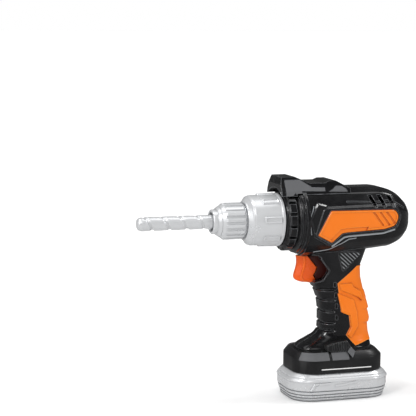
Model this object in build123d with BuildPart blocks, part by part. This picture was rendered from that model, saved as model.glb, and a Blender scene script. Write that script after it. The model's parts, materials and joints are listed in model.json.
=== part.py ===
from build123d import *

import os
from math import cos, pi, radians, sin

os.makedirs("parts", exist_ok=True)

# Toy power drill. X points forward towards the bit, Y to the drill's left, Z up.
# The origin is the centre of the battery pack's underside. All sizes are in millimetres.

# Driving dimensions
AXIS_Z = 169.0  # height of the chuck's axis
WALL = 2.2  # thickness of the moulded shells
BODY_HALF_WIDTH = 27.5
BODY_FRONT_X = 36.5
BODY_REAR_X = -72.5
BODY_TOP_Z = 198.5
BODY_BOTTOM_Z = 135.0
GRIP_HALF_WIDTH = 16.0
PACK_TOP_Z = 45.0  # top of the battery pack, where the grip's foot stands
TRAY_TOP_Z = 26.0
TRAY_LENGTH = 101.4
TRAY_WIDTH = 66.6
TRAY_CORNER = 23.0
BLOCK_LENGTH = 89.0
BLOCK_WIDTH = 60.0
BLOCK_CORNER = 19.0
BIT_RADIUS = 6.5
BIT_TIP_X = 192.0
NOSE_FRONT_X = 122.0
SLEEVE_REAR_X = 57.0
TRIGGER_TRAVEL = 5.0
RUNNING_GAP = 0.06  # radial gap of a shaft in its bush
FREE_GAP = 0.4  # gap between pieces that move past each other
LARGE = 200.0  # longer than any piece, for cutting prisms


# Planes and placing
def side_plane(y):
    return Plane.XZ.offset(-y)


def cross_plane(x, z=AXIS_Z, y=0.0):
    return Plane(origin=(x, y, z), x_dir=(0, 1, 0), z_dir=(1, 0, 0))


def spin_axis(z=AXIS_Z):
    return Axis((0, 0, z), (1, 0, 0))


def save(piece, name):
    piece.part.label = name
    export_step(piece.part, f"parts/{name}.step")


# Shared shapes
def outline(plane, points, radius=0.0, inset=0.0):
    with BuildSketch(plane) as shape:
        with BuildLine():
            Polyline(*points, close=True)
        make_face()
        if radius:
            fillet(shape.vertices(), radius)
        if inset:
            offset(amount=-inset)
    return shape.sketch


def prism(plane, points, depth, radius=0.0):
    with BuildPart() as block:
        extrude(outline(plane, points, radius), amount=depth, both=True)
    return block.part


def side_prism(points, y_low, y_high, radius=0.0):
    with BuildPart() as block:
        extrude(outline(side_plane(y_low), points, radius), amount=-(y_high - y_low))
    return block.part


def turned(points, z=AXIS_Z):
    plane = Plane(origin=(0, 0, z), x_dir=(1, 0, 0), z_dir=(0, -1, 0))
    with BuildPart() as piece:
        with BuildSketch(plane):
            with BuildLine():
                Polyline(*points, close=True)
            make_face()
        revolve(axis=spin_axis(z))
    return piece.part


def ring(x_low, x_high, inner, outer, z=AXIS_Z):
    return turned([(x_low, inner), (x_high, inner), (x_high, outer), (x_low, outer)], z)


def rod(x_low, x_high, radius, z=AXIS_Z, y=0.0):
    with BuildPart() as piece:
        with BuildSketch(cross_plane(x_low, z, y)):
            Circle(radius)
        extrude(amount=x_high - x_low)
    return piece.part


def screw(plane, head_radius, head_height, shank_radius, length):
    # The head's outer face lies on the plane and the shank runs against its normal.
    slot_width = head_radius / 3
    with BuildPart() as piece:
        with BuildSketch(plane):
            Circle(head_radius)
        extrude(amount=-head_height)
        with BuildSketch(plane.offset(-head_height)):
            Circle(shank_radius)
        extrude(amount=-(length - head_height))
        with BuildSketch(plane):
            Rectangle(head_radius * 1.3, slot_width)
            Rectangle(slot_width, head_radius * 1.3)
        extrude(amount=-head_height / 2, mode=Mode.SUBTRACT)
    return piece.part


# Housing: the body is the common part of a side outline, a cross section and a plan outline.
BODY_CENTRE_Z = 167.0
ROOF_END = (-33.0, BODY_TOP_Z)
ROOF_MIDDLE = (-60.5, 189.0)
TAIL = (BODY_REAR_X, BODY_CENTRE_Z)
KEEL_MIDDLE = (-65.5, 149.5)
KEEL_START = (-46.0, 140.8)
KEEL_STEPS = [KEEL_START, (-20.0, 138.0), (0.0, BODY_BOTTOM_Z), (BODY_FRONT_X, BODY_BOTTOM_Z)]
PLAN_START = (-42.0, BODY_HALF_WIDTH)
PLAN_MIDDLE = (-64.5, 20.5)
PLAN_END = (BODY_REAR_X, 5.0)
BODY_SECTION_ROUNDING = 4.0
BODY_SECTION_RIGHT = [
    (13.5, BODY_TOP_Z),
    (21.5, 193.0),
    (25.5, 186.0),
    (BODY_HALF_WIDTH, 178.5),
    (BODY_HALF_WIDTH, 157.5),
    (24.5, 147.5),
    (17.0, 139.0),
    (8.0, BODY_BOTTOM_Z),
]


def mirrored(points, flip):
    return points + [flip(point) for point in reversed(points)]


BODY_SECTION = mirrored(BODY_SECTION_RIGHT, lambda point: (-point[0], point[1]))
BODY_SECTION = [(y, z - AXIS_Z) for y, z in BODY_SECTION]


def body_side(inset):
    with BuildSketch(Plane.XZ) as side:
        with BuildLine():
            Line((BODY_FRONT_X, BODY_TOP_Z), ROOF_END)
            ThreePointArc(ROOF_END, ROOF_MIDDLE, TAIL)
            ThreePointArc(TAIL, KEEL_MIDDLE, KEEL_START)
            Polyline(*KEEL_STEPS)
            Line(KEEL_STEPS[-1], (BODY_FRONT_X, BODY_TOP_Z))
        make_face()
        if inset:
            offset(amount=-inset)
    return side.sketch


def body_plan(inset):
    with BuildSketch(Plane.XY.offset(AXIS_Z)) as plan:
        with BuildLine():
            Line((BODY_FRONT_X, BODY_HALF_WIDTH), PLAN_START)
            ThreePointArc(PLAN_START, PLAN_MIDDLE, PLAN_END)
            Line(PLAN_END, (PLAN_END[0], 0))
            Line((PLAN_END[0], 0), (BODY_FRONT_X, 0))
            Line((BODY_FRONT_X, 0), (BODY_FRONT_X, BODY_HALF_WIDTH))
        make_face()
        mirror(about=Plane.XZ)
        if inset:
            offset(amount=-inset)
    return plan.sketch


def body_solid(inset):
    with BuildPart() as body:
        extrude(body_side(inset), amount=LARGE, both=True)
        section = outline(cross_plane(0), BODY_SECTION, BODY_SECTION_ROUNDING, inset)
        extrude(section, amount=LARGE, both=True, mode=Mode.INTERSECT)
        extrude(body_plan(inset), amount=LARGE, both=True, mode=Mode.INTERSECT)
    return body.part


# The grip is a loft of rounded rectangles: height, rear end, front end, half width.
GRIP_LEVELS = [
    (PACK_TOP_Z, -36.5, 51.0, 18.5),
    (50.0, -36.0, 39.0, 17.5),
    (56.0, -34.4, 21.0, GRIP_HALF_WIDTH),
    (63.5, -33.4, 14.0, GRIP_HALF_WIDTH),
    (74.0, -34.2, 14.2, GRIP_HALF_WIDTH),
    (88.0, -31.9, 14.9, GRIP_HALF_WIDTH),
    (100.0, -28.3, 18.0, GRIP_HALF_WIDTH),
    (112.0, -24.6, 24.5, GRIP_HALF_WIDTH),
    (122.0, -24.0, 25.5, GRIP_HALF_WIDTH),
    (143.0, -31.5, 27.0, GRIP_HALF_WIDTH),
]
GRIP_ROUNDING = 9.0


def grip_solid(inset):
    with BuildPart() as grip:
        for height, rear, front, half_width in GRIP_LEVELS:
            centre = ((front + rear) / 2, 0)
            with BuildSketch(Plane.XY.offset(height)):
                with Locations(centre):
                    RectangleRounded(front - rear - 2 * inset, 2 * (half_width - inset), GRIP_ROUNDING - inset)
        loft(ruled=True)
    return grip.part


# The trigger stands in a notch at the top of the grip's front.
NOTCH = [(45.0, 136.0), (19.5, 136.0), (18.6, 131.2), (11.0, 120.7), (16.7, 112.3), (29.1, 109.8), (45.0, 108.5)]
TRIGGER_HALF_WIDTH = 7.0
TRIGGER_SLOT = [(6.0, 108.4), (45.0, 108.4), (45.0, 135.6), (6.0, 135.6)]
TRIGGER_SLOT_HALF_WIDTH = TRIGGER_HALF_WIDTH + FREE_GAP

# The orange cover wraps the back of the grip between these side outlines.
COVER_REGION = [
    (-17.9, 124.1),
    (2.0, 108.4),
    (0.5, 98.1),
    (-1.9, 81.3),
    (-10.0, 77.7),
    (-11.5, 66.4),
    (-7.4, 58.7),
    (-15.6, 49.0),
    (-29.1, 52.5),
    (-60.0, 52.5),
    (-60.0, 124.1),
]
PANEL = [
    (14.5, 179.0),
    (-50.0, 178.3),
    (-54.1, 171.7),
    (-50.4, 162.9),
    (-38.9, 160.0),
    (2.9, 157.9),
    (13.1, 149.0),
    (27.0, 156.4),
]
PANEL_SEAT_Y = BODY_HALF_WIDTH - 1.0
PANEL_FACE_Y = BODY_HALF_WIDTH + 0.9
VENT = [(1.6, 138.4), (-2.9, 120.4), (-4.9, 120.7), (-20.6, 134.6), (-21.0, 138.4)]
VENT_SEAT_Y = GRIP_HALF_WIDTH - 0.9
VENT_FACE_Y = GRIP_HALF_WIDTH + 0.3
SCREW_PLACES = [(-60.0, 166.0), (27.0, 186.0), (-50.0, 150.0), (6.0, 98.0), (-3.0, 66.0)]  # X and Z
BOSS_RADIUS = 3.4
PILOT_RADIUS = 1.1
SCREW_HEAD_RADIUS = 2.4
SCREW_HEAD_HEIGHT = 1.8
SCREW_LENGTH = 16.0
SCREW_HEAD_DEPTH = 8.0  # distance of a screw head's outer face from the middle plane
NOSE_OPENING = 16.0  # radius of the opening in the body's front wall

outer_body = body_solid(0)
outer_grip = grip_solid(0)
inner_body = body_solid(WALL)
inner_grip = grip_solid(WALL)


def mirror_copy(whole):
    with BuildPart() as copy:
        mirror(whole, about=Plane.XZ)
    return copy


# Orange cover on the back of the grip
with BuildPart() as grip_back_cover:
    add(outer_grip)
    add(outer_body, mode=Mode.SUBTRACT)
    add(prism(Plane.XZ, COVER_REGION, LARGE), mode=Mode.INTERSECT)
    add(inner_grip, mode=Mode.SUBTRACT)
save(grip_back_cover, "grip_back_cover")


# Housing shells
def screw_bosses(y_low, y_high, radius):
    with BuildPart() as bosses:
        with BuildSketch(side_plane(y_low)):
            with Locations(*SCREW_PLACES):
                Circle(radius)
        extrude(amount=-(y_high - y_low))
    return bosses.part


with BuildPart() as left_shell:
    add(outer_body)
    add(outer_grip)
    add(prism(Plane.XZ, NOTCH, LARGE), mode=Mode.SUBTRACT)
    add(inner_body, mode=Mode.SUBTRACT)
    add(inner_grip, mode=Mode.SUBTRACT)
    add(grip_back_cover.part, mode=Mode.SUBTRACT)
    add(prism(Plane.XZ, TRIGGER_SLOT, TRIGGER_SLOT_HALF_WIDTH), mode=Mode.SUBTRACT)
    add(rod(BODY_FRONT_X - 3 * WALL, BODY_FRONT_X + WALL, NOSE_OPENING), mode=Mode.SUBTRACT)
    add(side_prism(PANEL, PANEL_SEAT_Y, LARGE, 2.0), mode=Mode.SUBTRACT)
    add(side_prism(VENT, VENT_SEAT_Y, LARGE, 1.0), mode=Mode.SUBTRACT)
    split(bisect_by=Plane.XZ, keep=Keep.BOTTOM)

with BuildPart() as shell_space:
    add(outer_body)
    add(outer_grip)
    add(prism(Plane.XZ, NOTCH, LARGE), mode=Mode.SUBTRACT)

with BuildPart() as left_housing:
    add(screw_bosses(0, LARGE, BOSS_RADIUS))
    add(shell_space.part, mode=Mode.INTERSECT)
    add(grip_back_cover.part, mode=Mode.SUBTRACT)
    add(side_prism(PANEL, PANEL_SEAT_Y, LARGE, 2.0), mode=Mode.SUBTRACT)
    add(left_shell.part)
    add(screw_bosses(0, SCREW_LENGTH, PILOT_RADIUS), mode=Mode.SUBTRACT)
save(left_housing, "left_housing")

with BuildPart() as right_housing:
    add(screw_bosses(-LARGE, 0, BOSS_RADIUS))
    add(shell_space.part, mode=Mode.INTERSECT)
    add(grip_back_cover.part, mode=Mode.SUBTRACT)
    add(side_prism(PANEL, PANEL_SEAT_Y, LARGE, 2.0).mirror(Plane.XZ), mode=Mode.SUBTRACT)
    add(left_shell.part.mirror(Plane.XZ))
    add(screw_bosses(-LARGE, 0, PILOT_RADIUS), mode=Mode.SUBTRACT)
    add(screw_bosses(-LARGE, -SCREW_HEAD_DEPTH + SCREW_HEAD_HEIGHT, SCREW_HEAD_RADIUS + 0.3), mode=Mode.SUBTRACT)
save(right_housing, "right_housing")

with BuildPart() as housing_screws:
    for screw_x, screw_z in SCREW_PLACES:
        seat = Plane(origin=(screw_x, -SCREW_HEAD_DEPTH, screw_z), x_dir=(1, 0, 0), z_dir=(0, -1, 0))
        add(screw(seat, SCREW_HEAD_RADIUS, SCREW_HEAD_HEIGHT, PILOT_RADIUS - 0.05, SCREW_LENGTH))
save(housing_screws, "housing_screws")

# Side panels and ribbed vents
PANEL_GROOVES = [-31.0, -38.0, -45.0]
VENT_RIB_PITCH = 2.6
VENT_RIB_COUNT = 9

with BuildPart() as left_side_panel:
    add(side_prism(PANEL, PANEL_SEAT_Y, PANEL_FACE_Y, 2.0))
    for groove_x in PANEL_GROOVES:
        groove = [(groove_x, 164.5), (groove_x + 1.4, 164.5), (groove_x + 5.9, 175.0), (groove_x + 4.5, 175.0)]
        add(side_prism(groove, PANEL_FACE_Y - 0.7, LARGE), mode=Mode.SUBTRACT)
save(left_side_panel, "left_side_panel")
right_side_panel = mirror_copy(left_side_panel.part)
save(right_side_panel, "right_side_panel")

with BuildPart() as left_vent:
    add(side_prism(VENT, VENT_SEAT_Y, VENT_FACE_Y, 1.0))
    with BuildSketch(side_plane(VENT_FACE_Y - 0.6)):
        with Locations((-9.0, 131.5)):
            with Locations(Rotation(0, 0, 41)):
                with GridLocations(1, VENT_RIB_PITCH, 1, VENT_RIB_COUNT):
                    Rectangle(60, 1.2)
    extrude(amount=-1.0, mode=Mode.SUBTRACT)
save(left_vent, "left_vent")
right_vent = mirror_copy(left_vent.part)
save(right_vent, "right_vent")

# Top rail: its side profile, cut to a cross section that narrows upwards.
RAIL_SIDE = [
    (60.0, 192.5),
    (60.0, 203.0),
    (58.5, 209.8),
    (45.0, 209.8),
    (31.0, 203.8),
    (16.0, 203.8),
    (12.5, 205.5),
    (5.0, 205.5),
    (-8.0, BODY_TOP_Z),
    (-8.0, 192.5),
]
RAIL_SECTION_RIGHT = [(13.0, 209.9), (20.0, 197.0), (21.0, 192.5)]
RAIL_SECTION = [(y, z - AXIS_Z) for y, z in mirrored(RAIL_SECTION_RIGHT, lambda point: (-point[0], point[1]))]
RING_CLEARANCE_RADIUS = 30.4
COLLAR_FRONT_X = 45.0
COLLAR_RADIUS = 33.0
TRIM_DEPTH = 1.2
TRIM_SECTION = [(13.0 - TRIM_DEPTH, 209.9), (20.0 - TRIM_DEPTH, 197.0), (21.0 - TRIM_DEPTH, 192.5)]
TRIM_SECTION += [(21.0, 192.5), (20.0, 197.0), (13.0, 209.9)]
TRIM_SECTION = [(y, z - AXIS_Z) for y, z in TRIM_SECTION]
FRONT_TRIM = [
    (55.8, 206.9),
    (55.6, 192.9),
    (49.2, 193.1),
    (47.1, 195.9),
    (44.5, 193.4),
    (39.8, 193.7),
    (40.8, 197.3),
    (17.6, 196.6),
    (17.7, 199.5),
    (29.7, 199.8),
    (40.9, 206.9),
]
REAR_TRIM = [(13.8, 196.1), (10.0, 197.6), (5.7, 200.7), (0.5, 200.5), (-3.5, 198.0), (-4.8, 195.5)]


def rail_trim(points):
    with BuildPart() as trim:
        add(side_prism(points, 0, LARGE))
        extrude(outline(cross_plane(0), TRIM_SECTION), amount=LARGE, both=True, mode=Mode.INTERSECT)
        add(outer_body, mode=Mode.SUBTRACT)
        add(rod(BODY_FRONT_X, COLLAR_FRONT_X, COLLAR_RADIUS), mode=Mode.SUBTRACT)
    return trim


left_front_trim = rail_trim(FRONT_TRIM)
save(left_front_trim, "rail_trim_front_left")
right_front_trim = mirror_copy(left_front_trim.part)
save(right_front_trim, "rail_trim_front_right")
left_rear_trim = rail_trim(REAR_TRIM)
save(left_rear_trim, "rail_trim_rear_left")
right_rear_trim = mirror_copy(left_rear_trim.part)
save(right_rear_trim, "rail_trim_rear_right")

with BuildPart() as top_rail:
    add(prism(Plane.XZ, RAIL_SIDE, LARGE))
    extrude(outline(cross_plane(0), RAIL_SECTION), amount=LARGE, both=True, mode=Mode.INTERSECT)
    add(outer_body, mode=Mode.SUBTRACT)
    add(rod(BODY_FRONT_X, LARGE, RING_CLEARANCE_RADIUS), mode=Mode.SUBTRACT)
    add(rod(BODY_FRONT_X, COLLAR_FRONT_X, COLLAR_RADIUS), mode=Mode.SUBTRACT)
    for trim in (left_front_trim, right_front_trim, left_rear_trim, right_rear_trim):
        add(trim.part, mode=Mode.SUBTRACT)
save(top_rail, "top_rail")

# Front collar and clutch ring
RING_FRONT_X = 56.0
COLLAR_STEPS = [
    (BODY_FRONT_X, COLLAR_RADIUS),
    (39.5, COLLAR_RADIUS),
    (41.0, COLLAR_RADIUS - 2),
    (43.0, COLLAR_RADIUS - 2),
    (COLLAR_FRONT_X, COLLAR_RADIUS - 4),
]
RING_BLOCKS = 16
RING_BLOCK_WIDTH = 9.4
RING_CORE_RADIUS = 26.4
RING_BLOCK_DEPTH = 3.0
BUSH_OUTER = 8.0
BUSH_LENGTH = 8.0
SHAFT_RADIUS = 4.0


with BuildPart() as front_collar:
    add(turned([(BODY_FRONT_X, BUSH_OUTER)] + COLLAR_STEPS + [(COLLAR_FRONT_X, BUSH_OUTER)]))
    add(ring(BODY_FRONT_X + 4, COLLAR_FRONT_X, 13.0, 24.0), mode=Mode.SUBTRACT)
    add(ring(BODY_FRONT_X - 4, BODY_FRONT_X, BUSH_OUTER, NOSE_OPENING - 0.1))
save(front_collar, "front_collar")

with BuildPart() as front_bush:
    add(ring(BODY_FRONT_X, BODY_FRONT_X + BUSH_LENGTH, SHAFT_RADIUS + RUNNING_GAP, BUSH_OUTER))
save(front_bush, "front_bush")

with BuildPart() as clutch_ring:
    add(ring(COLLAR_FRONT_X, RING_FRONT_X, 21.0, RING_CORE_RADIUS))
    with BuildSketch(cross_plane(COLLAR_FRONT_X)):
        with PolarLocations(RING_CORE_RADIUS + RING_BLOCK_DEPTH / 2 - 0.5, RING_BLOCKS):
            Rectangle(RING_BLOCK_DEPTH + 1, RING_BLOCK_WIDTH)
    extrude(amount=RING_FRONT_X - COLLAR_FRONT_X - 1.5)
save(clutch_ring, "clutch_ring")

# Chuck
GRIP_RIBS = 18
SLEEVE_PADS = 8

with BuildPart() as chuck_sleeve:
    add(
        turned(
            [
                (SLEEVE_REAR_X, 21.5),
                (SLEEVE_REAR_X, 24.8),
                (60.0, 24.8),
                (60.6, 24.2),
                (85.0, 23.4),
                (87.4, 22.0),
                (91.0, 17.8),
                (91.0, 12.4),
                (84.0, 12.4),
                (84.0, 20.5),
            ]
        )
    )
    with BuildSketch(cross_plane(64.0)):
        with PolarLocations(24.0, SLEEVE_PADS):
            Rectangle(1.4, 5.0)
    extrude(amount=11.0)
save(chuck_sleeve, "chuck_sleeve")

with BuildPart() as chuck_grip:
    add(turned([(91.0, 12.4), (91.0, 16.2), (111.5, 16.2), (114.5, 14.6), (114.5, 12.4)]))
    with BuildSketch(cross_plane(92.0)):
        with PolarLocations(16.2, GRIP_RIBS):
            Rectangle(2.0, 2.6)
    extrude(amount=19.0)
save(chuck_grip, "chuck_grip")

NOSE_BORE = 8.8
CORE_FRONT_X = 116.0
CORE_RADIUS = 12.4
SOCKET_DEPTH = 24.0
SHANK_FLATS = 8.0
SOCKET_FLATS = SHANK_FLATS + 0.3

with BuildPart() as nose_ring:
    add(
        turned(
            [
                (CORE_FRONT_X, NOSE_BORE),
                (NOSE_FRONT_X, NOSE_BORE),
                (NOSE_FRONT_X, 11.0),
                (121.0, 11.6),
                (118.6, 11.6),
                (118.0, 12.4),
                (CORE_FRONT_X - 1.5, 14.6),
                (CORE_FRONT_X - 1.5, CORE_RADIUS),
                (CORE_FRONT_X, CORE_RADIUS),
            ]
        )
    )
save(nose_ring, "nose_ring")

with BuildPart() as chuck_core:
    add(rod(62.0, CORE_FRONT_X, CORE_RADIUS))
    with BuildSketch(cross_plane(CORE_FRONT_X)):
        RegularPolygon(SOCKET_FLATS / 2, 6, major_radius=False)
    extrude(amount=-SOCKET_DEPTH, mode=Mode.SUBTRACT)
    add(rod(61.0, 82.0, SHAFT_RADIUS), mode=Mode.SUBTRACT)
save(chuck_core, "chuck_core")

with BuildPart() as drill_bit:
    with BuildSketch(cross_plane(CORE_FRONT_X - SOCKET_DEPTH + 1)):
        RegularPolygon(SHANK_FLATS / 2, 6, major_radius=False)
    extrude(amount=SOCKET_DEPTH)
    add(
        turned(
            [
                (CORE_FRONT_X + 1, 0),
                (CORE_FRONT_X + 1, BIT_RADIUS),
                (BIT_TIP_X - 5.5, BIT_RADIUS),
                (BIT_TIP_X - 2.6, BIT_RADIUS - 0.9),
                (BIT_TIP_X - 0.8, BIT_RADIUS - 2.6),
                (BIT_TIP_X, BIT_RADIUS - 4.6),
                (BIT_TIP_X, 0),
            ]
        )
    )
save(drill_bit, "drill_bit")

# Gear train: the motor shaft lies on the chuck's axis and the idler turns below it.
MOTOR_MODULE = 0.6
MOTOR_TEETH = 10
WHEEL_TEETH = 38
OUTPUT_MODULE = 0.8
PINION_TEETH = 12
OUTPUT_TEETH = 24
CENTRE_DISTANCE = MOTOR_MODULE * (MOTOR_TEETH + WHEEL_TEETH) / 2
IDLER_Z = AXIS_Z - CENTRE_DISTANCE
AXLE_RADIUS = 1.5
TIP_HEIGHT = 0.9  # in modules
ROOT_DEPTH = 1.25
ROOT_HALF_TOOTH = 0.30  # in tooth pitches
TIP_HALF_TOOTH = 0.11


def gear(teeth, module, x_low, x_high, bore, first_tooth, z=AXIS_Z):
    # first_tooth is the angle of a tooth's middle from the Y axis, in degrees.
    pitch_angle = 2 * pi / teeth
    pitch_radius = module * teeth / 2
    tip = pitch_radius + TIP_HEIGHT * module
    root = pitch_radius - ROOT_DEPTH * module
    corners = [(root, -ROOT_HALF_TOOTH), (tip, -TIP_HALF_TOOTH), (tip, TIP_HALF_TOOTH), (root, ROOT_HALF_TOOTH)]
    points = []
    for tooth in range(teeth):
        for radius, share in corners:
            angle = radians(first_tooth) + (tooth + share) * pitch_angle
            points.append((radius * cos(angle), radius * sin(angle)))
    with BuildPart() as wheel:
        extrude(outline(cross_plane(x_low, z), points), amount=x_high - x_low)
        if bore:
            with BuildSketch(cross_plane(x_low, z)):
                Circle(bore)
            extrude(amount=x_high - x_low, mode=Mode.SUBTRACT)
    return wheel.part


DOWN = -90.0
UP = 90.0
MOTOR_SHAFT_RADIUS = 1.0

with BuildPart() as motor_pinion:
    add(gear(MOTOR_TEETH, MOTOR_MODULE, -16.0, -10.0, MOTOR_SHAFT_RADIUS, DOWN))
save(motor_pinion, "motor_pinion")

with BuildPart() as idler_gear:
    add(gear(WHEEL_TEETH, MOTOR_MODULE, -15.5, -10.5, AXLE_RADIUS + RUNNING_GAP, UP + 180 / WHEEL_TEETH, IDLER_Z))
    add(gear(PINION_TEETH, OUTPUT_MODULE, -10.5, -1.0, AXLE_RADIUS + RUNNING_GAP, UP, IDLER_Z))
save(idler_gear, "idler_gear")

with BuildPart() as output_gear:
    add(gear(OUTPUT_TEETH, OUTPUT_MODULE, -8.0, -2.0, SHAFT_RADIUS, DOWN + 180 / OUTPUT_TEETH))
save(output_gear, "output_gear")

with BuildPart() as output_shaft:
    add(rod(-8.6, 82.0, SHAFT_RADIUS))
    add(ring(-2.0, -0.8, SHAFT_RADIUS - 0.5, 6.0))
save(output_shaft, "output_shaft")

# Gearbox plates and bearings
MOTOR_RADIUS = 10.0
MOTOR_FLATS = 15.1
MOTOR_REAR_X = -44.0
MOTOR_FRONT_X = -19.0
PLATE_RIGHT = [(10.0, -27.5), (15.4, -25.2), (17.5, -16.0), (17.5, 14.0)]
PLATE_SHAPE = mirrored(PLATE_RIGHT, lambda point: (-point[0], point[1]))
POST_PLACES = [(-14.2, 10.6), (14.2, 10.6), (-12.6, -22.8), (12.6, -22.8)]
POST_RADIUS = 2.4

with BuildPart() as gearbox_rear_plate:
    extrude(outline(cross_plane(MOTOR_FRONT_X), PLATE_SHAPE, 3.0), amount=2.0)
    with BuildSketch(cross_plane(MOTOR_FRONT_X)):
        Circle(3.2)
        with Locations((0, -CENTRE_DISTANCE)):
            Circle(AXLE_RADIUS)
        with Locations(*POST_PLACES):
            Circle(1.25)
    extrude(amount=2.0, mode=Mode.SUBTRACT)
save(gearbox_rear_plate, "gearbox_rear_plate")

with BuildPart() as gearbox_front_plate:
    extrude(outline(cross_plane(0), PLATE_SHAPE, 3.0), amount=3.0)
    with BuildSketch(cross_plane(-17.0)):
        with Locations(*POST_PLACES):
            Circle(POST_RADIUS)
    extrude(amount=17.0)
    add(ring(3.0, 8.0, 5.5, 9.0))
    add(rod(0, 8.0, 5.5), mode=Mode.SUBTRACT)
    with BuildSketch(cross_plane(-17.0)):
        with Locations(*POST_PLACES):
            Circle(1.2)
    extrude(amount=8.0, mode=Mode.SUBTRACT)
    add(rod(-1, 2.0, AXLE_RADIUS, IDLER_Z), mode=Mode.SUBTRACT)
save(gearbox_front_plate, "gearbox_front_plate")

with BuildPart() as rear_bush:
    add(ring(0, 8.0, SHAFT_RADIUS + RUNNING_GAP, 5.5))
save(rear_bush, "rear_bush")

with BuildPart() as idler_axle:
    add(rod(MOTOR_FRONT_X, 2.0, AXLE_RADIUS, IDLER_Z))
save(idler_axle, "idler_axle")

with BuildPart() as gearbox_screws:
    for screw_y, screw_z in POST_PLACES:
        seat = Plane(
            origin=(MOTOR_FRONT_X - 1.5, screw_y, AXIS_Z + screw_z), x_dir=(0, 1, 0), z_dir=(-1, 0, 0)
        )
        add(screw(seat, 2.2, 1.5, 1.15, 9.0))
save(gearbox_screws, "gearbox_screws")

# Motor: a can with flat sides, its end cap, and the rotor that turns in it.
MOTOR_WALL = 0.8


def motor_block(x_low, x_high, inset):
    with BuildPart() as block:
        with BuildSketch(cross_plane(x_low)):
            Circle(MOTOR_RADIUS - inset)
            Rectangle(2 * MOTOR_RADIUS, MOTOR_FLATS - 2 * inset, mode=Mode.INTERSECT)
        extrude(amount=x_high - x_low)
    return block.part


with BuildPart() as motor_can:
    add(motor_block(MOTOR_REAR_X + 3, MOTOR_FRONT_X, 0))
    add(motor_block(MOTOR_REAR_X + 3, MOTOR_FRONT_X - MOTOR_WALL, MOTOR_WALL), mode=Mode.SUBTRACT)
    add(rod(MOTOR_FRONT_X, MOTOR_FRONT_X + 1.6, 3.0))
    add(rod(MOTOR_FRONT_X - 2, MOTOR_FRONT_X + 3, MOTOR_SHAFT_RADIUS + RUNNING_GAP), mode=Mode.SUBTRACT)
save(motor_can, "motor_can")

with BuildPart() as motor_end_cap:
    add(motor_block(MOTOR_REAR_X, MOTOR_REAR_X + 3, 0))
    add(rod(MOTOR_REAR_X - 1, MOTOR_REAR_X + 4, MOTOR_SHAFT_RADIUS + RUNNING_GAP), mode=Mode.SUBTRACT)
save(motor_end_cap, "motor_end_cap")

with BuildPart() as motor_rotor:
    add(rod(MOTOR_REAR_X - 1, -10.0, MOTOR_SHAFT_RADIUS))
    add(ring(MOTOR_REAR_X + 6, MOTOR_FRONT_X - 3, MOTOR_SHAFT_RADIUS - 0.4, 6.0))
save(motor_rotor, "motor_rotor")

# Trigger, its stem, spring and switch
TRIGGER_SIDE = [
    (37.9, 134.3),
    (37.3, 127.0),
    (38.8, 119.5),
    (40.1, 114.0),
    (37.2, 110.4),
    (31.3, 108.8),
    (21.8, 109.7),
    (20.4, 114.4),
    (21.4, 115.6),
    (18.8, 122.6),
    (24.5, 134.3),
]
STEM_Z = 121.0
STEM_SIZE = 5.0
SWITCH_FRONT_X = 6.0
SWITCH_REAR_X = -13.0

with BuildPart() as trigger:
    add(prism(Plane.XZ, TRIGGER_SIDE, TRIGGER_HALF_WIDTH))
    front_edges = trigger.edges().filter_by(lambda edge: abs(edge.center().Y) > 6 and edge.center().X > 36)
    chamfer(front_edges, length=2.4)
save(trigger, "trigger")

with BuildPart() as trigger_stem:
    with BuildSketch(cross_plane(2.0, STEM_Z)):
        Rectangle(STEM_SIZE, STEM_SIZE)
    extrude(amount=19.5)
    add(trigger.part, mode=Mode.SUBTRACT)
    add(rod(-4.0, 2.0, 1.4, STEM_Z))
save(trigger_stem, "trigger_stem")

with BuildPart() as trigger_spring:
    add(ring(-3.5, 1.9, 1.7, 2.4, STEM_Z))
save(trigger_spring, "trigger_spring")

with BuildPart() as switch_box:
    with BuildSketch(cross_plane(SWITCH_REAR_X, STEM_Z)):
        Rectangle(13.0, 16.0)
    extrude(amount=SWITCH_FRONT_X - SWITCH_REAR_X)
    with BuildSketch(cross_plane(SWITCH_REAR_X + 1.5, STEM_Z)):
        Rectangle(STEM_SIZE + 2 * FREE_GAP, STEM_SIZE + 2 * FREE_GAP)
    extrude(amount=SWITCH_FRONT_X - SWITCH_REAR_X, mode=Mode.SUBTRACT)
save(switch_box, "switch_box")

# Battery pack
TRAY_FLOOR = 2.4
DOOR_LENGTH = 72.0
DOOR_WIDTH = 54.0
DOOR_THICKNESS = 2.0
DOOR_GAP = 0.3
CELL_RADIUS = 7.1
CELL_LENGTH = 50.0
CELL_Z = 10.6
CELL_ROWS = [-16.0, 0.0, 16.0]


def slab(z_low, z_high, length, width, corner):
    with BuildPart() as block:
        with BuildSketch(Plane.XY.offset(z_low)):
            RectangleRounded(length, width, corner)
        extrude(amount=z_high - z_low)
    return block.part


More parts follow.
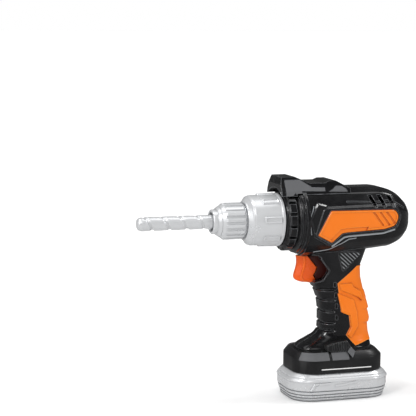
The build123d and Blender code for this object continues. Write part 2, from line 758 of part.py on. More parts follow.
with BuildPart() as battery_tray:
    add(slab(0, 3.4, TRAY_LENGTH - 3.0, TRAY_WIDTH - 3.0, TRAY_CORNER - 1.5))
    add(slab(3.4, 6.4, TRAY_LENGTH - 1.2, TRAY_WIDTH - 1.2, TRAY_CORNER - 0.6))
    add(slab(6.4, 10.0, TRAY_LENGTH - 0.6, TRAY_WIDTH - 0.6, TRAY_CORNER - 0.3))
    with BuildSketch(Plane.XY.offset(10.0)):
        RectangleRounded(TRAY_LENGTH, TRAY_WIDTH, TRAY_CORNER)
    extrude(amount=9.0)
    with BuildSketch(Plane.XY.offset(19.0)):
        RectangleRounded(TRAY_LENGTH, TRAY_WIDTH, TRAY_CORNER)
    with BuildSketch(Plane.XY.offset(TRAY_TOP_Z)):
        RectangleRounded(TRAY_LENGTH - 9, TRAY_WIDTH - 5.6, TRAY_CORNER - 3)
    loft(ruled=True)
    add(slab(TRAY_FLOOR, TRAY_TOP_Z, TRAY_LENGTH - 14, TRAY_WIDTH - 11, TRAY_CORNER - 5), mode=Mode.SUBTRACT)
    add(slab(0, TRAY_FLOOR, DOOR_LENGTH, DOOR_WIDTH, 4), mode=Mode.SUBTRACT)
save(battery_tray, "battery_tray")

with BuildPart() as battery_door:
    add(slab(0, DOOR_THICKNESS, DOOR_LENGTH - 2 * DOOR_GAP, DOOR_WIDTH - 2 * DOOR_GAP, 4))
    with BuildSketch():
        with Locations((31, 0)):
            Circle(1.6)
    extrude(amount=DOOR_THICKNESS, mode=Mode.SUBTRACT)
    with BuildSketch():
        with Locations((31, 0)):
            Circle(3.0)
    extrude(amount=1.2, mode=Mode.SUBTRACT)
save(battery_door, "battery_door")

with BuildPart() as door_screw:
    add(screw(Plane(origin=(31, 0, 0.2), x_dir=(1, 0, 0), z_dir=(0, 0, -1)), 2.6, 1.0, 1.5, 7.0))
save(door_screw, "door_screw")

with BuildPart() as aa_cells:
    for cell_y in CELL_ROWS:
        add(rod(-CELL_LENGTH / 2, CELL_LENGTH / 2 - 1, CELL_RADIUS, CELL_Z, cell_y))
        add(rod(CELL_LENGTH / 2 - 1, CELL_LENGTH / 2, 2.7, CELL_Z, cell_y))
save(aa_cells, "aa_cells")

with BuildPart() as contact_springs:
    for cell_y in CELL_ROWS:
        add(rod(-CELL_LENGTH / 2 - 3.6, -CELL_LENGTH / 2, 3.6, CELL_Z, cell_y))
save(contact_springs, "contact_springs")

with BuildPart() as contact_plates:
    for cell_y in CELL_ROWS:
        with BuildSketch(cross_plane(CELL_LENGTH / 2, CELL_Z, cell_y)):
            Rectangle(10.0, 11.0)
        extrude(amount=0.6)
        with BuildSketch(cross_plane(-CELL_LENGTH / 2 - 3.6, CELL_Z, cell_y)):
            Rectangle(10.0, 11.0)
        extrude(amount=-0.6)
save(contact_plates, "contact_plates")

BLOCK_SHOULDER_Z = 39.6
BLOCK_BEVEL = 5.0

with BuildPart() as battery_block:
    add(slab(TRAY_TOP_Z, BLOCK_SHOULDER_Z, BLOCK_LENGTH, BLOCK_WIDTH, BLOCK_CORNER))
    with BuildSketch(Plane.XY.offset(BLOCK_SHOULDER_Z)):
        RectangleRounded(BLOCK_LENGTH, BLOCK_WIDTH, BLOCK_CORNER)
    with BuildSketch(Plane.XY.offset(PACK_TOP_Z)):
        RectangleRounded(BLOCK_LENGTH - 2 * BLOCK_BEVEL, BLOCK_WIDTH - 2 * BLOCK_BEVEL, BLOCK_CORNER - BLOCK_BEVEL)
    loft(ruled=True)
    hollow_length = BLOCK_LENGTH - 2 * WALL
    hollow_width = BLOCK_WIDTH - 2 * WALL
    add(slab(TRAY_TOP_Z, BLOCK_SHOULDER_Z - 1, hollow_length, hollow_width, BLOCK_CORNER - WALL), mode=Mode.SUBTRACT)
save(battery_block, "battery_block")

# Grey shoulder trims and ribbed latch pads lie on the block's long bevels.
BEVEL_SECTION = [
    (BLOCK_WIDTH / 2 + 0.6, BLOCK_SHOULDER_Z - AXIS_Z - 1.2),
    (BLOCK_WIDTH / 2 + 0.6, BLOCK_SHOULDER_Z - AXIS_Z + 0.3),
    (BLOCK_WIDTH / 2 - BLOCK_BEVEL + 0.4, PACK_TOP_Z - AXIS_Z + 0.6),
    (BLOCK_WIDTH / 2 - BLOCK_BEVEL - 2, PACK_TOP_Z - AXIS_Z + 0.6),
    (BLOCK_WIDTH / 2 - BLOCK_BEVEL - 2, BLOCK_SHOULDER_Z - AXIS_Z + 2),
    (BLOCK_WIDTH / 2 - 1, BLOCK_SHOULDER_Z - AXIS_Z - 1.2),
]
TRIM_FRONT_X = 22.0
TRIM_REAR_X = -12.0
PAD_FRONT_X = 12.0
PAD_REAR_X = -9.0
PAD_TOP_Z = 55.0
PAD_OUTER_Y = 27.0
PAD_INNER_Y = 19.0
PAD_SIDE = [(PAD_REAR_X, PACK_TOP_Z), (PAD_REAR_X, PAD_TOP_Z), (PAD_FRONT_X - 2, PAD_TOP_Z - 3), (PAD_FRONT_X, PACK_TOP_Z)]
PAD_RIBS = 6

with BuildPart() as left_shoulder_trim:
    extrude(outline(cross_plane(TRIM_REAR_X), BEVEL_SECTION), amount=TRIM_FRONT_X - TRIM_REAR_X)
    add(battery_block.part, mode=Mode.SUBTRACT)
save(left_shoulder_trim, "left_shoulder_trim")
right_shoulder_trim = mirror_copy(left_shoulder_trim.part)
save(right_shoulder_trim, "right_shoulder_trim")

with BuildPart() as left_latch_pad:
    add(side_prism(PAD_SIDE, PAD_INNER_Y, PAD_OUTER_Y))
    add(outer_grip, mode=Mode.SUBTRACT)
    add(left_shoulder_trim.part, mode=Mode.SUBTRACT)
    for rib in range(PAD_RIBS):
        rib_x = PAD_REAR_X + 1.5 + rib * (PAD_FRONT_X - PAD_REAR_X - 4) / PAD_RIBS
        rib_side = [(rib_x, PACK_TOP_Z + 1.5), (rib_x + 1.2, PACK_TOP_Z + 1.5)]
        rib_side += [(rib_x + 2.2, PAD_TOP_Z + 2), (rib_x + 1.0, PAD_TOP_Z + 2)]
        add(side_prism(rib_side, PAD_OUTER_Y - 0.8, PAD_OUTER_Y + 1), mode=Mode.SUBTRACT)
save(left_latch_pad, "left_latch_pad")
right_latch_pad = mirror_copy(left_latch_pad.part)
save(right_latch_pad, "right_latch_pad")

# Sound parts inside the battery block
BOARD_Z = 30.0
SPEAKER_X = -22.0
SPEAKER_RADIUS = 13.5

with BuildPart() as circuit_board:
    with BuildSketch(Plane.XY.offset(BOARD_Z)):
        with Locations((18, 0)):
            Rectangle(34, 26)
    extrude(amount=1.6)
save(circuit_board, "circuit_board")

with BuildPart() as sound_chip:
    with BuildSketch(Plane.XY.offset(BOARD_Z + 1.6)):
        with Locations((14, 3)):
            Rectangle(10, 8)
    extrude(amount=1.8)
save(sound_chip, "sound_chip")

with BuildPart() as speaker_cone:
    with BuildSketch(Plane.XY.offset(TRAY_TOP_Z + 0.5)):
        with Locations((SPEAKER_X, 0)):
            Circle(SPEAKER_RADIUS)
    extrude(amount=3.0)
save(speaker_cone, "speaker_cone")

with BuildPart() as speaker_magnet:
    with BuildSketch(Plane.XY.offset(TRAY_TOP_Z + 3.5)):
        with Locations((SPEAKER_X, 0)):
            Circle(SPEAKER_RADIUS / 2)
    extrude(amount=5.0)
save(speaker_magnet, "speaker_magnet")

with BuildPart() as base_screws:
    for screw_x, screw_y in [(-40.0, 0.0), (40.0, 0.0)]:
        seat = Plane(origin=(screw_x, screw_y, 3.0), x_dir=(1, 0, 0), z_dir=(0, 0, -1))
        add(screw(seat, 1.9, 1.4, 1.1, 5.0))
save(base_screws, "base_screws")
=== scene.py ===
import json
import math

import bmesh
import bpy
from mathutils import Matrix, Vector


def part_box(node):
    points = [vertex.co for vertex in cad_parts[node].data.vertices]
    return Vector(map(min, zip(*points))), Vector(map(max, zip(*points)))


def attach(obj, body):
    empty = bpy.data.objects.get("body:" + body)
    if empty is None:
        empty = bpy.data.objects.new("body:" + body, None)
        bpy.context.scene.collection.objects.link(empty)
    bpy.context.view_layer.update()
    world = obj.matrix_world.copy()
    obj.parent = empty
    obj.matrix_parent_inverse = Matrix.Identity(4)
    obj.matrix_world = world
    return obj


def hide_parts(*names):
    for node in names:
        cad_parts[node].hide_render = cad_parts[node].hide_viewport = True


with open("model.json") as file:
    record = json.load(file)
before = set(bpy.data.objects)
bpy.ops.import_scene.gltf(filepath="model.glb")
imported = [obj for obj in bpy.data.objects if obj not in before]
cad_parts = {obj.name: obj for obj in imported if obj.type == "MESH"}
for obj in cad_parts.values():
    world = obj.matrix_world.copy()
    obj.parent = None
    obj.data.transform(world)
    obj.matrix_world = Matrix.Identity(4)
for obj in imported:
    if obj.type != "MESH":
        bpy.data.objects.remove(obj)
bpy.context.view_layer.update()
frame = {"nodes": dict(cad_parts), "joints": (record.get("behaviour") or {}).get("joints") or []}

mm = 0.001
chuckJoint = [joint for joint in frame["joints"] if joint["name"] == "chuck_spin"][0]
axisZ = chuckJoint["pos_m"][2] / mm
collection = bpy.context.scene.collection


def nodeBox(node):
    low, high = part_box(node)
    return low / mm, high / mm


def newGroup(name, inputs, outputs):
    group = bpy.data.node_groups.new(name, "ShaderNodeTree")
    for label, kind, value in inputs:
        socket = group.interface.new_socket(label, in_out="INPUT", socket_type=kind)
        socket.default_value = value
    for label, kind in outputs:
        group.interface.new_socket(label, in_out="OUTPUT", socket_type=kind)
    return group, group.nodes.new("NodeGroupInput"), group.nodes.new("NodeGroupOutput")


def addNode(tree, kind, settings=None, links=None):
    node = tree.nodes.new(kind)
    for key, value in (settings or {}).items():
        if key in node.inputs:
            node.inputs[key].default_value = value
        else:
            setattr(node, key, value)
    for key, source in (links or {}).items():
        tree.links.new(source, node.inputs[key])
    return node


def mathNode(tree, operation, first, second):
    node = tree.nodes.new("ShaderNodeMath")
    node.operation = operation
    for slot, value in enumerate((first, second)):
        if isinstance(value, (int, float)):
            node.inputs[slot].default_value = value
        else:
            tree.links.new(value, node.inputs[slot])
    return node.outputs[0]


def mixColour(tree, factor, first, second):
    node = tree.nodes.new("ShaderNodeMix")
    node.data_type = "RGBA"
    for slot, value in ((0, factor), (6, first), (7, second)):
        if isinstance(value, (int, float, tuple)):
            node.inputs[slot].default_value = value
        else:
            tree.links.new(value, node.inputs[slot])
    return node.outputs[2]


def buildMouldedSkin():
    # Fine moulding texture: a soft waviness with a small grain on top, as a height.
    inputs = [
        ("Wave size", "NodeSocketFloat", 90.0),
        ("Grain size", "NodeSocketFloat", 1800.0),
        ("Grain share", "NodeSocketFloat", 0.3),
    ]
    group, source, result = newGroup("mouldedSkin", inputs, [("Height", "NodeSocketFloat")])
    where = addNode(group, "ShaderNodeTexCoord")
    wave = addNode(group, "ShaderNodeTexNoise", {"Detail": 2.0}, {"Vector": where.outputs["Object"]})
    grain = addNode(group, "ShaderNodeTexNoise", {"Detail": 3.0}, {"Vector": where.outputs["Object"]})
    group.links.new(source.outputs["Wave size"], wave.inputs["Scale"])
    group.links.new(source.outputs["Grain size"], grain.inputs["Scale"])
    fine = mathNode(group, "MULTIPLY", grain.outputs["Fac"], source.outputs["Grain share"])
    group.links.new(mathNode(group, "ADD", wave.outputs["Fac"], fine), result.inputs["Height"])
    return group


def buildHandling():
    # Smudges from hands and hair-fine scratches, both as masks.
    inputs = [("Smudge size", "NodeSocketFloat", 25.0), ("Scratch size", "NodeSocketFloat", 60.0)]
    outputs = [("Smudge", "NodeSocketFloat"), ("Scratch", "NodeSocketFloat")]
    group, source, result = newGroup("handling", inputs, outputs)
    where = addNode(group, "ShaderNodeTexCoord")
    cloudy = {"Detail": 5.0, "Roughness": 0.65}
    smudge = addNode(group, "ShaderNodeTexNoise", cloudy, {"Vector": where.outputs["Object"]})
    group.links.new(source.outputs["Smudge size"], smudge.inputs["Scale"])
    patches = {"From Min": 0.42, "From Max": 0.72}
    ramp = addNode(group, "ShaderNodeMapRange", patches, {"Value": smudge.outputs["Fac"]})
    stretch = addNode(group, "ShaderNodeMapping", {"Scale": (1.0, 1.0, 14.0), "Rotation": (0.5, 0.9, 0.2)})
    group.links.new(where.outputs["Object"], stretch.inputs["Vector"])
    stringy = {"Detail": 6.0, "Roughness": 0.8}
    scratch = addNode(group, "ShaderNodeTexNoise", stringy, {"Vector": stretch.outputs["Vector"]})
    group.links.new(source.outputs["Scratch size"], scratch.inputs["Scale"])
    hairs = {"From Min": 0.66, "From Max": 0.74}
    thin = addNode(group, "ShaderNodeMapRange", hairs, {"Value": scratch.outputs["Fac"]})
    group.links.new(ramp.outputs["Result"], result.inputs["Smudge"])
    group.links.new(thin.outputs["Result"], result.inputs["Scratch"])
    return group


def buildPaintedEdgeHighlight():
    # A painted highlight mask that is 1 on edges, so edges are drawn lighter as if they caught the light:
    # the rounded normal is compared with the surface's own.
    inputs = [
        ("Reach", "NodeSocketFloat", 0.0006),
        ("Amount", "NodeSocketFloat", 0.5),
        ("Break up", "NodeSocketFloat", 140.0),
    ]
    group, source, result = newGroup("paintedEdgeHighlight", inputs, [("Mask", "NodeSocketFloat")])
    where = addNode(group, "ShaderNodeTexCoord")
    geometry = addNode(group, "ShaderNodeNewGeometry")
    rounded = addNode(group, "ShaderNodeBevel", {"samples": 6})
    group.links.new(source.outputs["Reach"], rounded.inputs["Radius"])
    compare = addNode(group, "ShaderNodeVectorMath", {"operation": "DOT_PRODUCT"})
    group.links.new(rounded.outputs["Normal"], compare.inputs[0])
    group.links.new(geometry.outputs["Normal"], compare.inputs[1])
    bent = mathNode(group, "SUBTRACT", 1.0, compare.outputs["Value"])
    edge = addNode(group, "ShaderNodeMapRange", {"From Min": 0.01, "From Max": 0.12}, {"Value": bent})
    noise = addNode(group, "ShaderNodeTexNoise", {"Detail": 4.0}, {"Vector": where.outputs["Object"]})
    group.links.new(source.outputs["Break up"], noise.inputs["Scale"])
    patches = {"From Min": 0.3, "From Max": 0.6, "To Min": 0.35}
    uneven = addNode(group, "ShaderNodeMapRange", patches, {"Value": noise.outputs["Fac"]})
    broken = mathNode(group, "MULTIPLY", edge.outputs["Result"], uneven.outputs["Result"])
    group.links.new(mathNode(group, "MULTIPLY", broken, source.outputs["Amount"]), result.inputs["Mask"])
    return group


def buildCreaseShade():
    # A painted shade mask that is 1 inside grooves and joints, where shade falls, so these are drawn
    # darker.
    inputs = [("Reach", "NodeSocketFloat", 0.004), ("Amount", "NodeSocketFloat", 1.0)]
    group, source, result = newGroup("creaseShade", inputs, [("Mask", "NodeSocketFloat")])
    closed = addNode(group, "ShaderNodeAmbientOcclusion", {"samples": 6})
    group.links.new(source.outputs["Reach"], closed.inputs["Distance"])
    hidden = mathNode(group, "SUBTRACT", 1.0, closed.outputs["AO"])
    paintedCreaseShade = addNode(group, "ShaderNodeMapRange", {"From Min": 0.1, "From Max": 0.5}, {"Value": hidden})
    shade = mathNode(group, "MULTIPLY", paintedCreaseShade.outputs["Result"], source.outputs["Amount"])
    group.links.new(shade, result.inputs["Mask"])
    return group


mouldedSkin = buildMouldedSkin()
creaseShade = buildCreaseShade()
handling = buildHandling()
paintedEdgeHighlight = buildPaintedEdgeHighlight()


def placeGroup(tree, group, values):
    node = tree.nodes.new("ShaderNodeGroup")
    node.node_tree = group
    for key, value in values.items():
        node.inputs[key].default_value = value
    return node


plasticBase = {"coat": 0.0, "level": 0.5, "metal": 0.0, "crease": 0.8, "smudge": 0.05}
plasticLook = {
    # each look holds a painted shade for creases, its base, and a painted highlight for edges that also
    # tints hand smudges; rough runs from clean to handled; edge is in mm
    "glossBlack": {"paintedCreaseShade": (0.002, 0.002, 0.0022), "base": (0.006, 0.006, 0.0068),
                   "edgeHighlightAndSmudge": (0.17, 0.175, 0.185), "rough": (0.15, 0.26), "bump": 0.05, "edgeHighlight": 1.0,
                   "edge": 0.5, "coat": 0.12},
    "satinBlack": {"paintedCreaseShade": (0.003, 0.003, 0.003), "base": (0.009, 0.009, 0.0098),
                   "edgeHighlightAndSmudge": (0.16, 0.165, 0.17), "rough": (0.38, 0.5), "bump": 0.16, "edgeHighlight": 0.9,
                   "edge": 0.3},
    # painted reflection: a grey standing in for light reflected on black chamfers and rail ends
    "paintedReflectionGrey": {"paintedCreaseShade": (0.02, 0.02, 0.022), "base": (0.11, 0.112, 0.118), "edgeHighlightAndSmudge": (0.2, 0.2, 0.21),
                  "rough": (0.34, 0.48), "bump": 0.12, "edgeHighlight": 0.6, "edge": 0.35},
    "brightOrange": {"paintedCreaseShade": (0.36, 0.018, 0.001), "base": (0.83, 0.176, 0.003), "edgeHighlightAndSmudge": (1.0, 0.4, 0.06),
                     "rough": (0.3, 0.44), "bump": 0.09, "edgeHighlight": 0.9, "edge": 0.4, "coat": 0.1,
                     "level": 0.32, "crease": 1.0},
    "deepOrange": {"paintedCreaseShade": (0.3, 0.012, 0.001), "base": (0.8, 0.094, 0.003), "edgeHighlightAndSmudge": (1.0, 0.36, 0.06),
                   "rough": (0.26, 0.4), "bump": 0.07, "edgeHighlight": 1.0, "edge": 0.5, "coat": 0.15, "level": 0.4,
                   "crease": 1.0},
    "silverPaint": {"paintedCreaseShade": (0.17, 0.178, 0.192), "base": (0.74, 0.75, 0.765), "edgeHighlightAndSmudge": (0.95, 0.96, 0.98),
                    "rough": (0.22, 0.34), "bump": 0.05, "edgeHighlight": 0.8, "edge": 0.4, "coat": 0.2,
                    "metal": 0.35, "crease": 0.7},
    # painted shade: the trigger's orange as it looks in shadow
    "shadedRed": {"paintedCreaseShade": (0.015, 0.003, 0.002), "base": (0.05, 0.008, 0.006), "edgeHighlightAndSmudge": (0.12, 0.03, 0.02),
                  "rough": (0.4, 0.5), "bump": 0.06, "edgeHighlight": 0.4, "edge": 0.3, "level": 0.3},
    # painted highlight: a pale grey for light caught on edges, lines and ribs
    "paintedSheenGrey": {"paintedCreaseShade": (0.06, 0.065, 0.07), "base": (0.24, 0.255, 0.27), "edgeHighlightAndSmudge": (0.4, 0.42, 0.44),
                  "rough": (0.25, 0.35), "bump": 0.04, "edgeHighlight": 0.6, "edge": 0.3},
    "whitePrint": {"paintedCreaseShade": (0.4, 0.4, 0.4), "base": (0.8, 0.8, 0.8), "edgeHighlightAndSmudge": (0.6, 0.6, 0.6),
                   "rough": (0.4, 0.5), "bump": 0.05, "edgeHighlight": 0.4, "edge": 0.1},
    "creamPlastic": {"paintedCreaseShade": (0.3, 0.28, 0.22), "base": (0.7, 0.68, 0.6), "edgeHighlightAndSmudge": (0.8, 0.78, 0.72),
                     "rough": (0.4, 0.55), "bump": 0.1, "edgeHighlight": 0.4, "edge": 0.2},
    "boardGreen": {"paintedCreaseShade": (0.004, 0.04, 0.015), "base": (0.012, 0.11, 0.04), "edgeHighlightAndSmudge": (0.1, 0.2, 0.1),
                   "rough": (0.3, 0.4), "bump": 0.12, "edgeHighlight": 0.4, "edge": 0.1, "coat": 0.1},
    "cellJacket": {"paintedCreaseShade": (0.006, 0.008, 0.015), "base": (0.02, 0.03, 0.06), "edgeHighlightAndSmudge": (0.1, 0.1, 0.12),
                   "rough": (0.2, 0.35), "bump": 0.04, "edgeHighlight": 0.4, "edge": 0.1, "coat": 0.1},
}


def newMaterial(name):
    material = bpy.data.materials.new(name)
    material.use_nodes = True
    return material, material.node_tree, material.node_tree.nodes["Principled BSDF"]


def plastic(name):
    look = {**plasticBase, **plasticLook[name]}
    material, tree, shader = newMaterial(name)
    skin = placeGroup(tree, mouldedSkin, {"Grain share": 0.35})
    marks = placeGroup(tree, handling, {})
    # painted highlight: edges are drawn lighter, as if they caught the light
    edgeHighlight = placeGroup(tree, paintedEdgeHighlight, {"Amount": look["edgeHighlight"], "Reach": look["edge"] * 2.1 * mm})
    base = mixColour(tree, edgeHighlight.outputs["Mask"], (*look["base"], 1), (*look["edgeHighlightAndSmudge"], 1))
    soft = mathNode(tree, "MULTIPLY", marks.outputs["Smudge"], look["smudge"])
    handled = mixColour(tree, soft, base, (*look["edgeHighlightAndSmudge"], 1))
    # painted shade: creases and joints are drawn darker, as if in shade
    crease = placeGroup(tree, creaseShade, {"Amount": look["crease"], "Reach": 0.003})
    shadedInCreases = mixColour(tree, crease.outputs["Mask"], handled, (*look["paintedCreaseShade"], 1))
    tree.links.new(shadedInCreases, shader.inputs["Base Color"])
    clean, greasy = look["rough"]
    spread = mathNode(tree, "MULTIPLY", marks.outputs["Smudge"], greasy - clean)
    scratched = mathNode(tree, "MULTIPLY", marks.outputs["Scratch"], 0.08)
    total = mathNode(tree, "ADD", mathNode(tree, "ADD", spread, clean), scratched)
    tree.links.new(total, shader.inputs["Roughness"])
    rounded = addNode(tree, "ShaderNodeBevel", {"samples": 4, "Radius": look["edge"] * mm})
    bump = addNode(tree, "ShaderNodeBump", {"Strength": look["bump"], "Distance": 0.0003})
    tree.links.new(skin.outputs["Height"], bump.inputs["Height"])
    tree.links.new(rounded.outputs["Normal"], bump.inputs["Normal"])
    tree.links.new(bump.outputs["Normal"], shader.inputs["Normal"])
    shader.inputs["Specular IOR Level"].default_value = look["level"]
    shader.inputs["Metallic"].default_value = look["metal"]
    shader.inputs["Coat Weight"].default_value = look["coat"]
    shader.inputs["Coat Roughness"].default_value = 0.08
    return material


metalLook = {
    "turnedSteel": {"base": (0.52, 0.53, 0.55), "rough": 0.28},
    "rolledBrass": {"base": (0.74, 0.52, 0.2), "rough": 0.3},
}


def metal(name):
    look = metalLook[name]
    material, tree, shader = newMaterial(name)
    shader.inputs["Metallic"].default_value = 1.0
    marks = placeGroup(tree, handling, {"Smudge size": 90.0, "Scratch size": 220.0})
    skin = placeGroup(tree, mouldedSkin, {"Wave size": 300.0, "Grain size": 2600.0})
    dull = tuple(part * 0.7 for part in look["base"])
    colour = mixColour(tree, marks.outputs["Smudge"], (*look["base"], 1), (*dull, 1))
    tree.links.new(colour, shader.inputs["Base Color"])
    scratched = mathNode(tree, "MULTIPLY", marks.outputs["Scratch"], 0.2)
    tree.links.new(mathNode(tree, "ADD", scratched, look["rough"]), shader.inputs["Roughness"])
    bump = addNode(tree, "ShaderNodeBump", {"Strength": 0.15, "Distance": 0.0002})
    tree.links.new(skin.outputs["Height"], bump.inputs["Height"])
    tree.links.new(bump.outputs["Normal"], shader.inputs["Normal"])
    return material


finish = {name: plastic(name) for name in plasticLook}
finish.update({name: metal(name) for name in metalLook})
print("finishes made")


flatCorner = math.radians(88.5)  # half of a corner's angle above which it is left straight
sides = ((1, "left"), (-1, "right"))


def roundedOutline(points, radius, steps=4):
    # The outline with each corner replaced by an arc; radius is one value or one for each corner.
    count = len(points)
    radii = radius if isinstance(radius, (list, tuple)) else [radius] * count
    rounded = []
    for index, corner in enumerate(points):
        here = Vector(corner)
        before = Vector(points[index - 1]) - here
        after = Vector(points[(index + 1) % count]) - here
        half = before.angle(after, math.pi) / 2
        if radii[index] <= 0 or half > flatCorner:
            rounded.append(here)
            continue
        reach = min(radii[index] / math.tan(half), 0.49 * before.length, 0.49 * after.length)
        start = here + before.normalized() * reach
        end = here + after.normalized() * reach
        for step in range(steps + 1):
            t = step / steps
            rounded.append(start * (1 - t) ** 2 + here * 2 * t * (1 - t) + end * t ** 2)
    return rounded


def loftRings(rings, capped=True):
    # Joins rings of points one after another; without caps the last joins the first.
    bm = bmesh.new()
    loops = [[bm.verts.new(point) for point in ring] for ring in rings]
    pairs = list(zip(loops, loops[1:]))
    if not capped:
        pairs.append((loops[-1], loops[0]))
    for low, high in pairs:
        for index in range(len(low)):
            following = (index + 1) % len(low)
            bm.faces.new((low[index], low[following], high[following], high[index]))
    if capped:
        bm.faces.new(list(reversed(loops[0])))
        bm.faces.new(loops[-1])
    bmesh.ops.recalc_face_normals(bm, faces=bm.faces)
    return bm


def insetOutline(points, amount):
    # The outline moved inwards by amount, corner by corner.
    outline = [Vector(point) for point in points]
    area = sum(a.x * b.y - b.x * a.y for a, b in zip(outline, outline[1:] + outline[:1]))
    sign = 1 if area > 0 else -1
    moved = []
    for index, here in enumerate(outline):
        before = (here - outline[index - 1]).normalized()
        after = (outline[(index + 1) % len(outline)] - here).normalized()
        way = (Vector((-before.y, before.x)) + Vector((-after.y, after.x))) * sign
        half = max(0.35, way.length / 2)
        moved.append(here + way.normalized() * (amount / half))
    return [(p.x, p.y) for p in moved]


def sidePrism(points, yLow, yHigh, edge=0.0, radius=0.0, steps=4):
    # A plate with this X and Z outline between two Y values, with bevelled outer edges.
    layers = [(yLow, 0.0), (yHigh, 0.0)]
    if edge:
        layers = [(yLow, edge), (yLow + edge, 0.0), (yHigh - edge, 0.0), (yHigh, edge)]
    rings = []
    for y, amount in layers:
        shape = insetOutline(points, amount) if amount else points
        outline = roundedOutline(shape, radius, steps) if radius else [Vector(point) for point in shape]
        rings.append([Vector((p.x, y, p.y)) for p in outline])
    return loftRings(rings)


def turned(profile, segments, shape=None, capped=False):
    # profile holds X and radius around the chuck's axis; shape can change a radius at an angle.
    rings = []
    for x, radius in profile:
        ring = []
        for step in range(segments):
            angle = 2 * math.pi * step / segments
            r = shape(x, radius, angle) if shape else radius
            ring.append(Vector((x, r * math.cos(angle), axisZ + r * math.sin(angle))))
        rings.append(ring)
    return loftRings(rings, capped)


def denser(profile, step):
    # The closed profile with extra points, so that no run is longer than about step.
    points = []
    loop = profile + profile[:1]
    for (x1, r1), (x2, r2) in zip(loop, loop[1:]):
        parts = max(1, round(math.hypot(x2 - x1, r2 - r1) / step))
        points += [(x1 + (x2 - x1) * k / parts, r1 + (r2 - r1) * k / parts) for k in range(parts)]
    return points


def roundedProfile(points, radius, steps=3):
    return [(p.x, p.y) for p in roundedOutline(points, radius, steps)]


def smoothStep(low, high, value):
    t = min(1.0, max(0.0, (value - low) / (high - low)))
    return t * t * (3 - 2 * t)


def around(angle, count, shift=0.0):
    # 0 in the middle of each of count places round the axis, 1 halfway between two of them.
    return abs((angle / (2 * math.pi) * count + shift) % 1.0 - 0.5) * 2


def between(value, low, high, soft):
    # 1 between low and high, 0 outside, with soft ends.
    return smoothStep(low, low + soft, value) * (1 - smoothStep(high - soft, high, value))


def follow(table, spot):
    # Straight runs between the table's points.
    for (x1, y1), (x2, y2) in zip(table, table[1:]):
        if min(x1, x2) <= spot <= max(x1, x2):
            return y1 + (y2 - y1) * (spot - x1) / (x2 - x1)
    return table[0][1] if abs(spot - table[0][0]) < abs(spot - table[-1][0]) else table[-1][1]


def followSmooth(table, spot):
    # The same points joined by a smooth curve.
    spots, values = zip(*sorted(table))
    spot = min(max(spot, spots[0]), spots[-1])
    index = max(k for k in range(len(spots) - 1) if spots[k] <= spot)

    def slope(k):
        if k == 0 or k == len(spots) - 1:
            other = 1 if k == 0 else k - 1
            return (values[other] - values[k]) / (spots[other] - spots[k])
        return (values[k + 1] - values[k - 1]) / (spots[k + 1] - spots[k - 1])

    gap = spots[index + 1] - spots[index]
    t = (spot - spots[index]) / gap
    square, cube = t * t, t ** 3
    return ((2 * cube - 3 * square + 1) * values[index] + (cube - 2 * square + t) * gap * slope(index)
            + (3 * square - 2 * cube) * values[index + 1] + (cube - square) * gap * slope(index + 1))


def asObject(bm, name):
    mesh = bpy.data.meshes.new(name)
    bm.to_mesh(mesh)
    piece = bpy.data.objects.new(name, mesh)
    collection.objects.link(piece)
    return piece


def combine(bm, other, operation):
    # Exact boolean of two closed meshes. other is used up.
    target, tool = asObject(bm, "target"), asObject(other, "tool")
    modifier = target.modifiers.new("combine", "BOOLEAN")
    modifier.operation = operation
    modifier.object = tool
    modifier.solver = "EXACT"
    evaluated = target.evaluated_get(bpy.context.evaluated_depsgraph_get())
    made = evaluated.to_mesh()
    bm.free()
    other.free()
    result = bmesh.new()
    result.from_mesh(made)
    evaluated.to_mesh_clear()
    for piece in (target, tool):
        mesh = piece.data
        bpy.data.objects.remove(piece)
        bpy.data.meshes.remove(mesh)
    return result


def mirrorCopy(bm):
    copy = bm.copy()
    for vert in copy.verts:
        vert.co.y = -vert.co.y
    bmesh.ops.reverse_faces(copy, faces=copy.faces)
    return copy


def mirrored(bm):
    copy = mirrorCopy(bm)
    bm.free()
    return copy


def sided(bm, side):
    # The left side's mesh as it is, or turned over for the right side.
    return bm if side > 0 else mirrored(bm)


def place(bm, name, body, look, nodes, sharp=32, edge=0.0):
    # Puts a finished piece in the frame; edge bevels its sharp edges by that many mm.
    bmesh.ops.scale(bm, vec=(mm, mm, mm), verts=bm.verts)
    piece = asObject(bm, name)
    bm.free()
    if edge:
        bevel = piece.modifiers.new("edges", "BEVEL")
        bevel.width = edge * mm
        bevel.segments = 3
        bevel.limit_method = "ANGLE"
        bevel.angle_limit = math.radians(28)
        bevel.use_clamp_overlap = True
    piece.data.shade_smooth()
    piece.data.set_sharp_from_angle(angle=math.radians(sharp))
    piece.data.materials.append(finish[look])
    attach(piece, body)
    if nodes:
        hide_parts(*nodes)
    return piece


def fromNode(node):
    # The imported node's own shape with its flat faces joined up, for finer edges.
    bm = bmesh.new()
    bm.from_mesh(frame["nodes"][node].data)
    bmesh.ops.scale(bm, vec=(1 / mm, 1 / mm, 1 / mm), verts=bm.verts)
    bmesh.ops.remove_doubles(bm, verts=bm.verts, dist=0.002)
    bmesh.ops.dissolve_limit(bm, angle_limit=math.radians(1.0), verts=bm.verts, edges=bm.edges)
    return bm


bitShape = {
    "radius": 6.45, "tipRadius": 3.2, "point": 1.2, "dome": 5.0, "rear": 117.0, "flats": 8.0, "pitch": 16.5,
    "grooveWidth": 3.0, "grooveDepth": 0.95, "landRise": 0.35, "grooveFrom": 128.0, "steps": 300,
    "segments": 96,
}


